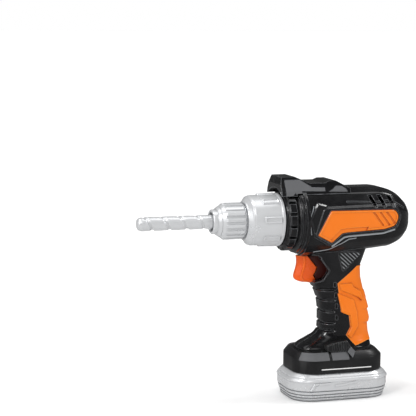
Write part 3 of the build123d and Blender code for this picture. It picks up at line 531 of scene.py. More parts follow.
def makeBit():
    low, high = nodeBox("drill_bit")
    shape = bitShape
    tip, rear = high.x, shape["rear"]

    def barRadius(x):
        share = min(1.0, max(0.0, (tip - x) / shape["dome"]))
        return shape["tipRadius"] + (shape["radius"] - shape["tipRadius"]) * math.sqrt(1 - (1 - share) ** 2)

    def groove(x, radius, angle):
        turn = (x / shape["pitch"] - angle / (2 * math.pi)) % 1.0
        away = min(turn, 1 - turn) * shape["pitch"]
        cut = 1 - smoothStep(shape["grooveWidth"] * 0.28, shape["grooveWidth"] * 0.72, away)
        rise = smoothStep(0.08, 0.55, turn) * (1 - smoothStep(0.8, 0.97, turn))
        fade = smoothStep(shape["grooveFrom"] - 3, shape["grooveFrom"] + 3, x)
        fade *= 1 - smoothStep(tip - 3.5, tip - 0.4, x)
        return radius - fade * (shape["grooveDepth"] * cut - shape["landRise"] * (rise - 1) * 0.6)

    spots = [rear + (tip - rear) * k / shape["steps"] for k in range(shape["steps"] + 1)]
    profile = [(x, barRadius(x)) for x in spots] + [(tip, shape["point"])]
    bar = turned(profile, shape["segments"], groove, capped=True)
    shank = []
    flats = shape["flats"]
    for x, across in ((low.x, flats - 0.8), (low.x + 0.8, flats), (rear + 0.3, flats)):
        corner = across / math.sqrt(3)
        angles = [math.pi / 3 * k for k in range(6)]
        shank.append([Vector((x, corner * math.cos(a), axisZ + corner * math.sin(a))) for a in angles])
    bar = combine(bar, loftRings(shank), "UNION")
    place(bar, "drill_bit_twisted", "bit", "silverPaint", ["drill_bit"], sharp=40)


sleeveShape = {
    "pads": 8, "padFrom": 60.6, "padTo": 77.0, "padHalf": 0.125, "padRise": 1.05, "sink": 0.6, "rim": 1.3,
    "bore": 12.6, "step": 0.42, "segments": 384,
}


def makeSleeve():
    low, high = nodeBox("chuck_sleeve")
    rear, front = low.x, high.x
    outer = (high.z - low.z) / 2
    shape = sleeveShape
    profile = [
        (rear, outer - 3.4), (rear, outer - 0.4), (rear + 0.6, outer), (rear + 2.6, outer),
        (rear + 3.2, outer - 0.75), (front - 6.0, outer - 1.5), (front - 5.0, outer - 2.0),
        (front - 3.9, outer - 2.2), (front - 3.3, outer - 3.4), (front - 1.0, 18.8), (front, 18.2),
        (front, shape["bore"]), (front - 5.0, shape["bore"]), (front - 5.0, outer - 4.2),
    ]

    def pads(x, radius, angle):
        if radius < outer - 3.0:
            return radius
        across = around(angle, shape["pads"], 0.35) * math.pi / shape["pads"]
        side = 1 - smoothStep(shape["padHalf"] - 0.02, shape["padHalf"], across)
        inner = 1 - smoothStep(shape["padHalf"] - 0.065, shape["padHalf"] - 0.045, across)
        ends = between(x, shape["padFrom"], shape["padTo"], 0.5)
        innerEnds = between(x, shape["padFrom"] + shape["rim"], shape["padTo"] - shape["rim"], 0.5)
        return radius + shape["padRise"] * (side * ends - shape["sink"] * inner * innerEnds)

    bm = turned(denser(roundedProfile(profile, 0.5), shape["step"]), shape["segments"], pads)
    place(bm, "chuck_sleeve_moulded", "chuck", "silverPaint", ["chuck_sleeve"], sharp=50)


chuckGripShape = {
    "ribs": 18, "core": 16.1, "rib": 17.2, "inner": 12.5, "lead": 14.2, "step": 0.4, "segments": 432,
}


def makeChuckGrip():
    low, high = nodeBox("chuck_grip")
    shape = chuckGripShape
    start, end = low.x + 1.6, high.x - 3.0
    profile = [
        (low.x, shape["inner"]), (low.x, shape["core"] - 0.2), (high.x - 2.8, shape["core"]),
        (high.x, shape["lead"]), (high.x, shape["inner"]),
    ]

    def ribs(x, radius, angle):
        if radius < shape["inner"] + 0.7:
            return radius
        share = around(angle, shape["ribs"])
        side = 1 - smoothStep(0.42, 0.62, share)
        ends = smoothStep(start, start + 1.4, x + 0.9 * share)
        ends *= 1 - smoothStep(end - 1.4, end, x - 0.9 * share)
        return radius + (shape["rib"] - shape["core"]) * side * ends

    bm = turned(denser(roundedProfile(profile, 0.5), shape["step"]), shape["segments"], ribs)
    place(bm, "chuck_grip_ribbed", "chuck", "silverPaint", ["chuck_grip"], sharp=50)


noseShape = {"seat": 12.6, "rim": 14.5, "neck": 11.4, "mouth": 9.3, "bore": 8.6, "segments": 128}


def makeNose():
    low, high = nodeBox("nose_ring")
    front = high.x
    shape = noseShape
    profile = [
        (low.x, shape["seat"]), (low.x, shape["rim"]), (front - 4.6, 12.3), (front - 4.2, shape["neck"]),
        (front - 0.8, shape["neck"]), (front, 10.6), (front, shape["mouth"]),
        (front - 1.2, shape["bore"] + 0.1), (front - 5.8, shape["bore"]), (front - 5.8, 12.4),
    ]
    bm = turned(roundedProfile(profile, 0.45, 4), shape["segments"])
    place(bm, "nose_ring_turned", "chuck", "silverPaint", ["nose_ring"], sharp=50)


ringShape = {
    "blocks": 16, "core": 27.0, "block": 29.4, "groove": 1.2, "inner": 21.5, "step": 0.34, "segments": 512,
}


def makeClutchRing():
    low, high = nodeBox("clutch_ring")
    shape = ringShape
    rear, front, core = low.x, high.x, shape["core"]
    profile = [
        (rear, shape["inner"]), (rear, core + 0.4), (rear + 1.6, core + 0.4), (rear + 1.9, core),
        (front - 2.4, core), (front - 1.2, core - 1.0), (front, core - 1.6), (front, shape["inner"]),
    ]

    def blocks(x, radius, angle):
        if radius < core - 3:
            return radius
        share = around(angle, shape["blocks"], 0.3)
        side = 1 - smoothStep(0.76, 0.81, share)
        ends = smoothStep(rear + 1.9, rear + 2.4, x) * (1 - smoothStep(front - 2.6, front - 1.4, x))
        groove = smoothStep(0.85, 0.9, share) * smoothStep(rear + 1.9, rear + 2.3, x)
        groove *= 1 - smoothStep(front - 3.4, front - 2.9, x)
        return radius + (shape["block"] - core) * side * ends - shape["groove"] * groove

    bm = turned(denser(roundedProfile(profile, 0.3), shape["step"]), shape["segments"], blocks)
    place(bm, "clutch_ring_castellated", "housing", "glossBlack", ["clutch_ring"], sharp=45)


collarShape = {"rear": 35.6, "bore": 8.2, "hub": 12.0, "recess": 3.0, "segments": 192}


def makeCollar():
    shape = collarShape
    front = nodeBox("front_collar")[1].x
    rear, floor = shape["rear"], front - shape["recess"]
    profile = [
        (rear, shape["bore"]), (rear, 32.6), (rear + 1.2, 33.0), (rear + 3.6, 32.8), (rear + 4.0, 31.4),
        (rear + 4.7, 31.2), (rear + 5.1, 31.9), (rear + 7.4, 31.4), (rear + 7.8, 30.0), (rear + 8.4, 29.8),
        (front, 28.6), (front, 24.0), (floor, 23.0), (floor, shape["hub"] + 1.0), (front, shape["hub"]),
        (front, shape["bore"]),
    ]
    bm = turned(roundedProfile(profile, 0.4), shape["segments"])
    place(bm, "front_collar_ringed", "housing", "glossBlack", ["front_collar"], sharp=40)


bodyShape = {
    "centre": 167.0, "front": 36.5, "rear": -72.4, "top": 198.5, "half": 27.4, "roofEnd": -33.0,
    "keelEnd": -46.0, "flankEnd": -43.0, "wall": 2.2, "seam": 0.09, "bendLead": 3, "straightSteps": 24,
    "bendSteps": 36, "lipRise": 1.05, "lipEdge": 1.5, "bolsterRise": 0.45, "bolsterEdge": 1.2,
    "lineDepth": 0.7, "panelDepth": 0.9, "ventFloor": 15.2, "pocketGap": 0.4,
}
bodySection = [
    # Y as a share of the half width, Z as a share of the height above or below the centre, corner radius
    (0.36, 1.0, 6.0), (0.72, 0.86, 5.0), (0.93, 0.605, 1.0), (1.0, 0.41, 1.2), (1.0, -0.30, 1.4),
    (0.9, -0.60, 4.0), (0.62, -0.87, 5.0), (0.30, -1.0, 5.0),
]
keelLine = [(36.5, 135.0), (0.0, 135.0), (-20.0, 138.0), (-46.0, 140.6)]


def bodyRing(x, inset):
    shape = bodyShape
    roof = shape["top"] - shape["centre"]
    keel = shape["centre"] - follow(keelLine, x)
    half = shape["half"]
    if x < shape["roofEnd"]:
        roof *= math.sqrt(max(0.0, 1 - ((shape["roofEnd"] - x) / (shape["roofEnd"] - shape["rear"])) ** 2))
    if x < shape["keelEnd"]:
        keel *= math.sqrt(max(0.0, 1 - ((shape["keelEnd"] - x) / (shape["keelEnd"] - shape["rear"])) ** 2))
    if x < shape["flankEnd"]:
        share = (shape["flankEnd"] - x) / (shape["flankEnd"] - shape["rear"])
        half *= max(0.0, 1 - share ** 2.5) ** 0.4
    roof, keel, half = max(roof - inset, 0.3), max(keel - inset, 0.3), max(half - inset, 0.3)
    small = min(1.0, half / shape["half"] + 0.02)
    right = [(y * half, shape["centre"] + z * (roof if z > 0 else keel)) for y, z, _ in bodySection]
    radii = [radius * small for _, _, radius in bodySection]
    points = right + [(-y, z) for y, z in reversed(right)]
    outline = roundedOutline(points, radii + radii[::-1], 4)
    return [Vector((x, p.x, p.y)) for p in outline]


def bodyMesh(inset):
    shape = bodyShape
    front = shape["front"] - inset
    rear = shape["rear"] + inset
    bend = shape["roofEnd"] + shape["bendLead"]
    steps, turns = shape["straightSteps"], shape["bendSteps"]
    straight = [front + (bend - front) * k / steps for k in range(steps + 1)]
    curved = [bend + (rear - bend) * math.sin(math.pi / 2 * k / turns) for k in range(1, turns)]
    return loftRings([bodyRing(x, inset) for x in straight + curved])


gripSpan = {"low": 45.0, "high": 143.0, "power": 3.2, "segments": 112, "layers": 200}
# The grip's outline: height, then X of its front and rear or half its width.
gripFront = [(45.0, 36.0), (47.4, 35.8), (49.6, 33.6), (51.6, 30.2), (54.0, 25.6), (57.4, 19.2),
             (61.0, 15.6), (65.0, 14.3), (74.0, 14.0), (82.0, 14.2), (90.0, 15.2), (97.0, 17.0),
             (104.0, 20.4), (110.0, 23.6), (118.0, 25.2), (143.0, 27.0)]
gripRear = [(45.0, -36.4), (50.8, -35.9), (60.7, -33.2), (68.0, -33.6), (74.0, -34.1), (82.0, -33.2),
            (90.0, -31.2), (98.0, -28.8), (106.0, -26.2), (113.0, -24.5), (122.0, -24.2), (130.0, -27.0),
            (143.0, -32.0)]
coverRear = [(45.0, -36.6), (50.8, -36.2), (60.7, -33.5), (69.0, -32.6), (69.8, -34.2), (73.6, -34.7),
             (81.8, -32.4), (83.3, -33.7), (88.3, -32.1), (92.0, -30.9), (93.4, -30.9), (99.6, -28.9),
             (101.2, -27.7), (112.7, -24.8), (121.6, -24.3), (126.0, -25.4), (143.0, -31.0)]
gripHalf = [(45.0, 21.4), (47.6, 21.1), (50.0, 19.6), (53.0, 17.6), (58.0, 16.0), (143.0, 16.0)]
fingerGrooves = {"heights": [102.5, 92.6, 81.8, 70.6, 63.0], "depth": 1.5, "width": 1.7, "reach": 3.6}
fingerPockets = {"spots": [(4.6, 107.3), (3.3, 97.2), (2.4, 86.6), (2.0, 75.8)], "width": 2.3,
                 "height": 4.4, "floor": 14.4}
notchRim = {"width": 1.5, "rise": 0.55, "kept": [(26.0, 134.0), (26.0, 106.0), (4.0, 106.0), (4.0, 134.0)]}
# Outlines on the drill's sides, as X and Z.
bolster = [(27.5, 186.5), (17.8, 183.9), (17.5, 179.4), (27.4, 158.0), (31.0, 156.6), (34.4, 171.4),
           (30.2, 181.7)]
upperLine = [(-2.0, 186.9), (-30.8, 186.0), (-46.8, 187.2), (-60.4, 179.6), (-60.0, 178.6), (-46.4, 186.2),
             (-30.8, 185.0), (-2.0, 185.9)]
triggerNotch = [(52.0, 134.9), (19.5, 134.9), (18.6, 131.2), (11.0, 120.7), (16.7, 112.3), (29.1, 109.6),
                (52.0, 108.5)]
coverRegion = [(-17.9, 124.1), (2.0, 108.4), (0.5, 98.1), (-1.9, 81.3), (-10.0, 77.7), (-11.5, 66.4),
               (-7.4, 58.7), (-15.6, 49.0), (-29.1, 52.5), (-60.0, 52.5), (-60.0, 124.1)]
panelOutline = [(14.5, 179.0), (-50.0, 178.3), (-54.1, 171.7), (-50.4, 162.9), (-38.9, 160.0),
                (-2.3, 158.3), (2.9, 157.6), (13.1, 149.0), (27.0, 156.4)]
panelCorners = [1.8, 7.0, 7.0, 7.0, 5.0, 3.0, 2.0, 1.2, 1.2]
lipOutline = [(17.6, 182.6), (-51.0, 183.6), (-57.6, 172.5), (-53.5, 160.2), (-38.0, 155.9), (-3.2, 154.2),
              (1.2, 153.4), (12.9, 145.2), (31.0, 155.2), (22.5, 181.0)]
lipCorners = [3.0, 9.0, 9.0, 9.0, 6.0, 3.0, 3.0, 2.0, 2.0, 3.0]
ventOutline = [(1.4, 137.6), (-2.9, 120.8), (-4.9, 121.0), (-20.2, 134.4), (-20.6, 137.6)]
topSlots = {"starts": [-19.6, -28.6, -37.6], "slant": -9.4, "top": 195.2, "bottom": 186.2, "width": 3.8,
            "depth": 1.5, "lean": -38, "pivot": (0, 22.6, 191.0)}
triggerSlot = {"half": 7.4, "bottom": 108.3, "top": 135.4}
screwWells = {"spots": [(-60.0, 166.0), (27.0, 186.0), (-50.0, 150.0), (6.0, 98.0), (-3.0, 66.0)],
              "radius": 2.7, "floor": -6.2}


def gripMesh(inset, rearTable, smoothRear, grooves):
    span = gripSpan
    rings = []
    for k in range(span["layers"] + 1):
        z = span["low"] + (span["high"] - span["low"]) * k / span["layers"]
        front = followSmooth(gripFront, z) - inset
        rear = (followSmooth(rearTable, z) if smoothRear else follow(rearTable, z)) + inset
        half = follow(gripHalf, z) - inset
        centre, reach = (front + rear) / 2, (front - rear) / 2
        dent = 0.0
        if grooves:
            away = min(abs(z - height) for height in fingerGrooves["heights"])
            dent = (1 - smoothStep(0.2, fingerGrooves["width"], away)) * fingerGrooves["depth"]
        ring = []
        for step in range(span["segments"]):
            angle = 2 * math.pi * step / span["segments"]
            c, s = math.cos(angle), math.sin(angle)
            x = centre + reach * math.copysign(abs(c) ** (2 / span["power"]), c)
            y = half * math.copysign(abs(s) ** (2 / span["power"]), s)
            if dent:
                share = smoothStep(fingerGrooves["reach"] - 0.6, fingerGrooves["reach"] + 0.8, x)
                pull = Vector((x - 2.0, y)).normalized() * dent * share
                x, y = x - pull.x, y - pull.y
            ring.append(Vector((x, y, z)))
        rings.append(ring)
    return loftRings(rings)


def slantSlot(start, shape):
    # A slot that leans between two heights.
    width, slant, top, bottom = shape["width"], shape["slant"], shape["top"], shape["bottom"]
    return [(start, top), (start - width, top), (start - width + slant, bottom), (start + slant, bottom)]


def topSlot(start):
    # Cut into the sloped shoulder above the side panel.
    shape = topSlots
    cutter = sidePrism(slantSlot(start, shape), 17.0, 45.0, 0, 0.8)
    lean = Matrix.Rotation(math.radians(shape["lean"]), 3, "X")
    pivot, foot = Vector(shape["pivot"]), Vector((0, 17.0 + shape["depth"], shape["pivot"][2]))
    for vert in cutter.verts:
        vert.co = pivot + lean @ (vert.co - foot)
    return cutter


def makeHousing():
    shape = bodyShape
    shell = combine(bodyMesh(0), gripMesh(0, gripRear, True, True), "UNION")
    for side, word in sides:
        lip = sidePrism(lipOutline, 20.0, shape["half"] + shape["lipRise"], shape["lipEdge"], lipCorners)
        plate = sidePrism(bolster, 18.0, shape["half"] + shape["bolsterRise"], shape["bolsterEdge"], 1.0)
        rimOutline = insetOutline(triggerNotch, -notchRim["width"])
        rim = sidePrism(rimOutline, 10.0, 16.0 + notchRim["rise"], 0.5, 2.4)
        rim = combine(rim, sidePrism(notchRim["kept"], 5.0, 20.0), "INTERSECT")
        for part in (lip, plate, rim):
            shell = combine(shell, sided(part, side), "UNION")
        line = combine(sidePrism(upperLine, 20.0, 40.0), bodyMesh(shape["lineDepth"]), "DIFFERENCE")
        shell = combine(shell, sided(line, side), "DIFFERENCE")
        wide, tall = fingerPockets["width"] / 2, fingerPockets["height"] / 2
        for x, z in fingerPockets["spots"]:
            corners = ((-1, -1), (1, -1), (1, 1), (-1, 1))
            outline = [(x + wide * across, z + tall * up) for across, up in corners]
            well = sidePrism(outline, fingerPockets["floor"], 30.0, 0, 0.7)
            shell = combine(shell, sided(well, side), "DIFFERENCE")
    shell = combine(shell, sidePrism(triggerNotch, -40, 40, 0, 1.6), "DIFFERENCE")
    for side, word in sides:
        pockets = [(panelOutline, shape["half"] - shape["panelDepth"], panelCorners),
                   (ventOutline, shape["ventFloor"], 0.8)]
        cutters = [sidePrism(insetOutline(outline, -shape["pocketGap"]), floor, 45, 0, corner)
                   for outline, floor, corner in pockets]
        cutters += [topSlot(start) for start in topSlots["starts"]]
        for cutter in cutters:
            shell = combine(shell, sided(cutter, side), "DIFFERENCE")
    shell = combine(shell, sidePrism(coverRegion, -40, 40, 0, 1.0), "DIFFERENCE")
    hollow = combine(bodyMesh(shape["wall"]), gripMesh(shape["wall"] + 0.8, gripRear, True, False), "UNION")
    shell = combine(shell, hollow, "DIFFERENCE")
    wide, low, high = triggerSlot["half"], triggerSlot["bottom"], triggerSlot["top"]
    corners = ((-wide, low), (wide, low), (wide, high), (-wide, high))
    slot = loftRings([[Vector((x, y, z)) for y, z in corners] for x in (5.0, 52.0)])
    shell = combine(shell, slot, "DIFFERENCE")
    noseOpening = turned([(30.0, 16.0), (60.0, 16.0)], 96, capped=True)
    shell = combine(shell, noseOpening, "DIFFERENCE")
    for side, word in sides:
        half = shell.copy()
        geometry = half.verts[:] + half.edges[:] + half.faces[:]
        cut = bmesh.ops.bisect_plane(half, geom=geometry, plane_co=(0, side * shape["seam"], 0),
                                     plane_no=(0, -side, 0), clear_outer=True)
        edges = [edge for edge in cut["geom_cut"] if isinstance(edge, bmesh.types.BMEdge)]
        bmesh.ops.holes_fill(half, edges=edges)
        if side < 0:
            angles = [k * math.pi / 12 for k in range(24)]
            for x, z in screwWells["spots"]:
                radius = screwWells["radius"]
                outline = [(x + radius * math.cos(a), z + radius * math.sin(a)) for a in angles]
                half = combine(half, sidePrism(outline, -60, screwWells["floor"]), "DIFFERENCE")
        place(half, word + "_housing_shell", "housing", "glossBlack", [word + "_housing"],
              sharp=30)
    shell.free()


coverShape = {
    "rise": 0.35, "wall": 2.6, "facetFace": 17.6, "facetEdge": 0.9,
    "facets": [
        [(2.0, 99.6), (-14.6, 92.4), (-18.2, 80.9), (-19.6, 66.9), (-12.4, 54.6), (-8.6, 58.7),
         (-12.6, 66.4), (-11.0, 77.1), (-2.6, 80.7)],
        [(0.4, 108.0), (-12.6, 108.3), (-14.0, 104.7), (-21.4, 100.2), (-24.4, 90.2), (-19.1, 94.6),
         (-1.4, 101.9)],
    ],
}


def makeGripCover():
    shape = coverShape
    region = sidePrism(coverRegion, -40, 40, 0, 1.0)
    cover = combine(gripMesh(-shape["rise"], coverRear, False, False), region, "INTERSECT")
    for outline in shape["facets"]:
        for side, word in sides:
            plate = sidePrism(outline, 11.0, shape["facetFace"], shape["facetEdge"], 0.8)
            cover = combine(cover, sided(plate, side), "UNION")
    cover = combine(cover, gripMesh(shape["wall"], gripRear, True, False), "DIFFERENCE")
    place(cover, "grip_back_cover_moulded", "housing", "brightOrange", ["grip_back_cover"],
          sharp=30)


panelShape = {
    # heights are counted from the body's widest line
    "back": -0.85, "face": 1.35, "edge": 0.8, "rim": 1.9, "sunk": 1.0,
    "grooveFloor": 0.35, "starts": [-26.8, -33.4, -40.0], "width": 2.6, "slant": -9.8, "top": 176.3,
    "bottom": 163.4, "stepFloor": 0.3,
    "step": [(-20.4, 158.5), (-23.6, 163.0), (-6.0, 162.6), (4.6, 161.6), (14.6, 152.6), (13.1, 148.0),
             (3.0, 156.6), (-2.3, 157.6)],
}


def makePanels():
    shape, half = panelShape, bodyShape["half"]
    for side, word in sides:
        panel = sidePrism(panelOutline, half + shape["back"], half + shape["face"], shape["edge"],
                          panelCorners)
        sunkCorners = [radius * 0.7 for radius in panelCorners]
        sunk = insetOutline(panelOutline, shape["rim"])
        cutters = [sidePrism(sunk, half + shape["sunk"], 40, 0, sunkCorners)]
        for start in shape["starts"]:
            cutters.append(sidePrism(slantSlot(start, shape), half + shape["grooveFloor"], 40, 0, 0.5))
        cutters.append(sidePrism(shape["step"], half + shape["stepFloor"], 40))
        for cutter in cutters:
            panel = combine(panel, cutter, "DIFFERENCE")
        place(sided(panel, side), word + "_side_panel_grooved", "housing", "brightOrange",
              [word + "_side_panel"], sharp=30)


highlightLines = {
    # painted highlight lines: pale strips raised on the shell where light catches its edges; points, width
    "lower": ([(27.5, 139.6), (12.4, 141.9), (-4.5, 151.6), (-12.0, 152.4)], 1.0),
    "lip": ([(-50.0, 159.6), (-38.0, 156.3), (-3.2, 154.6), (1.2, 153.8), (13.2, 145.8)], 1.5),
    "front": ([(33.2, 157.0), (35.0, 171.4), (31.0, 183.6)], 0.8),
}
lineShape = {"rise": 0.35, "sink": 0.5, "lipRise": 1.25, "lipFrom": 26.2, "edge": 0.3,
             "lipSide": [(-70, 130), (40, 130), (40, 200), (-70, 200)]}


def lineOutline(points, width):
    # A strip of this width along a run of points.
    path = [Vector(point) for point in points]
    near, far = [], []
    for index, here in enumerate(path):
        ahead = path[min(index + 1, len(path) - 1)] - path[max(index - 1, 0)]
        across = Vector((-ahead.y, ahead.x)).normalized() * width / 2
        near.append(here + across)
        far.append(here - across)
    return [(p.x, p.y) for p in near + far[::-1]]


def makeHighlightLines():
    shape = lineShape
    for side, word in sides:
        for name, (points, width) in highlightLines.items():
            face = bodyShape["half"] + shape["lipRise"]
            strip = sidePrism(lineOutline(points, width), 8.0, face, shape["edge"])
            if name == "lip":
                strip = combine(strip, sidePrism(shape["lipSide"], shape["lipFrom"], 40), "INTERSECT")
            else:
                strip = combine(strip, bodyMesh(-shape["rise"]), "INTERSECT")
                strip = combine(strip, bodyMesh(shape["sink"]), "DIFFERENCE")
            # the pale strips are painted highlights along the shell's edges
            place(sided(strip, side), f"{word}_{name}_line", "housing", "paintedSheenGrey", [],
                  sharp=30)


ventShape = {
    "back": 14.9, "face": 16.0, "floor": 15.4, "middle": (-9.5, 131.0), "angle": 42.0, "pitch": 2.75,
    "gap": 1.6, "grooves": 7, "rib": 0.75, "ribRise": 0.35, "edge": 0.7,
}


def ventBar(step, width):
    # A long slanting bar, this many pitches away from the vent's middle.
    angle = math.radians(ventShape["angle"])
    along = Vector((math.cos(angle), math.sin(angle)))
    across = Vector((-along.y, along.x))
    centre = Vector(ventShape["middle"]) + across * step * ventShape["pitch"]
    half, reach = across * width / 2, along * 30
    corners = (centre - reach - half, centre + reach - half, centre + reach + half, centre - reach + half)
    return [(p.x, p.y) for p in corners]


def makeVents():
    shape = ventShape
    for side, word in sides:
        vent = sidePrism(ventOutline, shape["back"], shape["face"], 0.2, 0.8)
        for k in range(shape["grooves"]):
            groove = ventBar(k - shape["grooves"] / 2 + 0.5, shape["gap"])
            vent = combine(vent, sidePrism(groove, shape["floor"], 20), "DIFFERENCE")
        ribs = bmesh.new()
        for k in range(shape["grooves"] + 1):
            outline = ventBar(k - shape["grooves"] / 2, shape["rib"])
            bar = sidePrism(outline, shape["face"] - 0.05, shape["face"] + shape["ribRise"], 0.1)
            bar = combine(bar, sidePrism(insetOutline(ventOutline, shape["edge"]), 10, 20), "INTERSECT")
            spare = bpy.data.meshes.new("spare")
            bar.to_mesh(spare)
            bar.free()
            ribs.from_mesh(spare)
            bpy.data.meshes.remove(spare)
        place(sided(vent, side), word + "_vent_plate", "housing", "satinBlack",
              [word + "_vent"], sharp=30)
        # the ribs' pale grey is a painted highlight: light caught on the vent's ribs
        place(sided(ribs, side), word + "_vent_ribs", "housing", "paintedSheenGrey", [], sharp=30)


def makeRail():
    place(fromNode("top_rail"), "top_rail_bevelled", "housing", "glossBlack", ["top_rail"],
          edge=0.55)
    for end in ("front", "rear"):
        for side in ("left", "right"):
            node = f"rail_trim_{end}_{side}"
            # the trims' grey is a painted reflection on the rail's end facets
            place(fromNode(node), node + "_facet", "housing", "paintedReflectionGrey", [node], edge=0.3)


triggerShape = {"half": 7.0, "cheek": 5.6, "flat": 2.2, "bottom": 109.0, "top": 134.3, "layers": 60}
# The trigger's side outline: height, then X.
triggerFront = [(134.3, 37.8), (130.0, 37.2), (126.0, 37.3), (121.0, 38.4), (117.0, 39.7), (114.2, 40.0),
                (111.6, 38.8), (110.0, 36.0), (109.0, 32.0)]
triggerRear = [(134.3, 28.4), (131.0, 25.6), (123.0, 19.0), (119.0, 20.2), (115.4, 22.4), (113.8, 21.4),
               (112.0, 20.0), (110.2, 20.6), (109.0, 23.4)]
# painted shade: a dark sheet beside the trigger's rear, coloured as the trigger in shadow
triggerShadeSheet = {
    "inner": 6.62, "outer": 7.2,
    "outline": [(27.8, 134.0), (25.3, 131.0), (18.9, 123.2), (20.0, 119.2), (22.2, 115.6), (21.1, 113.8),
                (19.8, 111.4), (12.5, 113.8), (8.4, 121.2), (15.5, 131.0), (18.5, 133.9)],
}


def makeTrigger():
    shape = triggerShape
    rings = []
    for k in range(shape["layers"] + 1):
        z = shape["bottom"] + (shape["top"] - shape["bottom"]) * k / shape["layers"]
        front, rear = followSmooth(triggerFront, z), follow(triggerRear, z)
        half = shape["half"] - 0.7 * (1 - smoothStep(shape["bottom"], shape["bottom"] + 2.5, z))
        ridge = front - shape["cheek"]
        cheek = [(front, shape["flat"]), (ridge + 1.1, half - 1.5), (ridge + 0.9, half - 0.1),
                 (ridge - 0.5, half), (ridge - 1.2, half - 0.7), (rear + 0.4, half - 0.7)]
        radii = [1.0, 0.6, 0.3, 0.3, 0.4, 0.6]
        section = cheek + [(x, -y) for x, y in reversed(cheek)]
        outline = roundedOutline(section, radii + radii[::-1], 3)
        rings.append([Vector((p.x, p.y, z)) for p in outline])
    place(loftRings(rings), "trigger_moulded", "trigger", "deepOrange", ["trigger"],
          sharp=35)
    # dark sheets on each side paint the shade on the trigger's rear
    for side, word in sides:
        shadeSheet = sidePrism(triggerShadeSheet["outline"], triggerShadeSheet["inner"], triggerShadeSheet["outer"], 0.2, 0.5)
        place(sided(shadeSheet, side), word + "_trigger_shade_sheet", "trigger", "shadedRed", [],
              sharp=30)


def swell(x, length, bulge):
    # How far a side that bulges in the middle has fallen back at x.
    return bulge * (abs(x) / (length / 2)) ** 2


def padRing(length, width, corner, z, bulge=0.0, steps=14):
    # A rounded rectangle whose sides swell a little.
    points = []
    for quarter in range(4):
        signX = 1 if quarter in (0, 3) else -1
        signY = 1 if quarter in (0, 1) else -1
        for step in range(steps + 1):
            angle = (quarter + step / steps) * math.pi / 2
            x = signX * (length / 2 - corner) + corner * math.cos(angle)
            y = signY * (width / 2 - corner) + corner * math.sin(angle)
            points.append((x, y))
    filled = []
    for index, (x, y) in enumerate(points):
        following = points[(index + 1) % len(points)]
        parts = 10 if math.dist((x, y), following) > 6 else 1
        stepX, stepY = (following[0] - x) / parts, (following[1] - y) / parts
        filled += [(x + stepX * k, y + stepY * k) for k in range(parts)]
    ring = []
    for x, y in filled:
        drop = swell(x, length, bulge) * min(1, abs(y) / (width / 2 - corner + 0.01))
        ring.append(Vector((x, y - math.copysign(drop, y), z)))
    return ring


trayShape = {
    "corner": 22.0, "bulge": 1.2, "pocketFloor": 2.4, "doorGap": 0.6, "relief": 0.25, "reliefBend": 19.5,
    # height, then how far the side stands in
    "layers": [
        (0.0, 5.2), (0.5, 4.2), (1.2, 3.6), (3.0, 3.3), (3.4, 4.2), (4.0, 4.2), (4.4, 2.7), (5.9, 2.4),
        (6.2, 3.3), (6.8, 3.3), (7.2, 1.7), (9.3, 1.3), (9.7, 2.2), (10.2, 2.2), (10.6, 0.9), (11.6, 0.7),
        (18.2, 0.7), (18.9, 0.0), (19.5, 0.0), (21.6, 1.6), (22.0, 2.4), (23.0, 2.5), (25.2, 5.0),
        (25.8, 6.0), (26.0, 7.2),
    ],
    "strips": [
        [(34.0, 11.2), (29.9, 17.6), (14.2, 18.2), (14.2, 16.4), (28.9, 15.6), (31.7, 11.2)],
        [(9.4, 13.6), (-12.0, 16.2), (-18.4, 21.4), (-15.6, 21.6), (-11.0, 18.0), (9.4, 15.5)],
        [(-11.4, 20.2), (-17.8, 24.4), (-15.4, 24.9), (-9.2, 21.0)],
    ],
}


def makeTray():
    low, high = nodeBox("battery_tray")
    length, width = high.x - low.x, high.y - low.y
    shape = trayShape
    corner, bulge = shape["corner"], shape["bulge"]
    rings = [padRing(length - 2 * inset, width - 1.7 * inset, corner - inset * 0.8, z, bulge)
             for z, inset in shape["layers"]]
    tray = loftRings(rings)
    pocket = [padRing(length - 18, width - 14, corner - 6, z) for z in (shape["pocketFloor"], 40.0)]
    tray = combine(tray, loftRings(pocket), "DIFFERENCE")
    door, reach = nodeBox("battery_door")
    gap = shape["doorGap"]
    opening = [padRing(reach.x - door.x + gap, reach.y - door.y + gap, 4.2, z) for z in (-5.0, 5.0)]
    tray = combine(tray, loftRings(opening), "DIFFERENCE")
    for strip in shape["strips"]:
        for side, word in sides:
            relief = sidePrism(strip, 27.0, width / 2 - 0.02, shape["relief"])
            for vert in relief.verts:
                over = max(0.0, vert.co.z - shape["reliefBend"])
                vert.co.y -= swell(vert.co.x, length, bulge) + over * 0.9
            tray = combine(tray, sided(relief, side), "UNION")
    place(tray, "battery_tray_stepped", "housing", "silverPaint", ["battery_tray"],
          sharp=35)
    place(fromNode("battery_door"), "battery_door_panel", "housing", "silverPaint",
          ["battery_door"], edge=0.3)


blockShape = {"corner": 19.5, "shoulder": 39.6, "bevel": 4.8, "bulge": 0.8, "wall": 3.0}


def makeBlock():
    low, high = nodeBox("battery_block")
    length, width, top = high.x - low.x, high.y - low.y, high.z
    shape = blockShape
    shoulder, bevel, corner = shape["shoulder"], shape["bevel"], shape["corner"]
    layers = [(low.z - 0.2, 0.6), (27.0, 0.0), (shoulder - 0.5, 0.0), (shoulder + 0.2, 0.25),
              (top - 0.5, bevel - 0.3), (top, bevel + 0.4)]
    rings = [padRing(length - 2 * inset, width - 2 * inset, corner - inset * 0.6, z, shape["bulge"])
             for z, inset in layers]
    wall = shape["wall"]
    hollow = [padRing(length - 2 * wall, width - 2 * wall, corner - wall, z) for z in (20.0, 38.0)]
    block = combine(loftRings(rings), loftRings(hollow), "DIFFERENCE")
    place(block, "battery_block_moulded", "housing", "satinBlack", ["battery_block"],
          sharp=30)


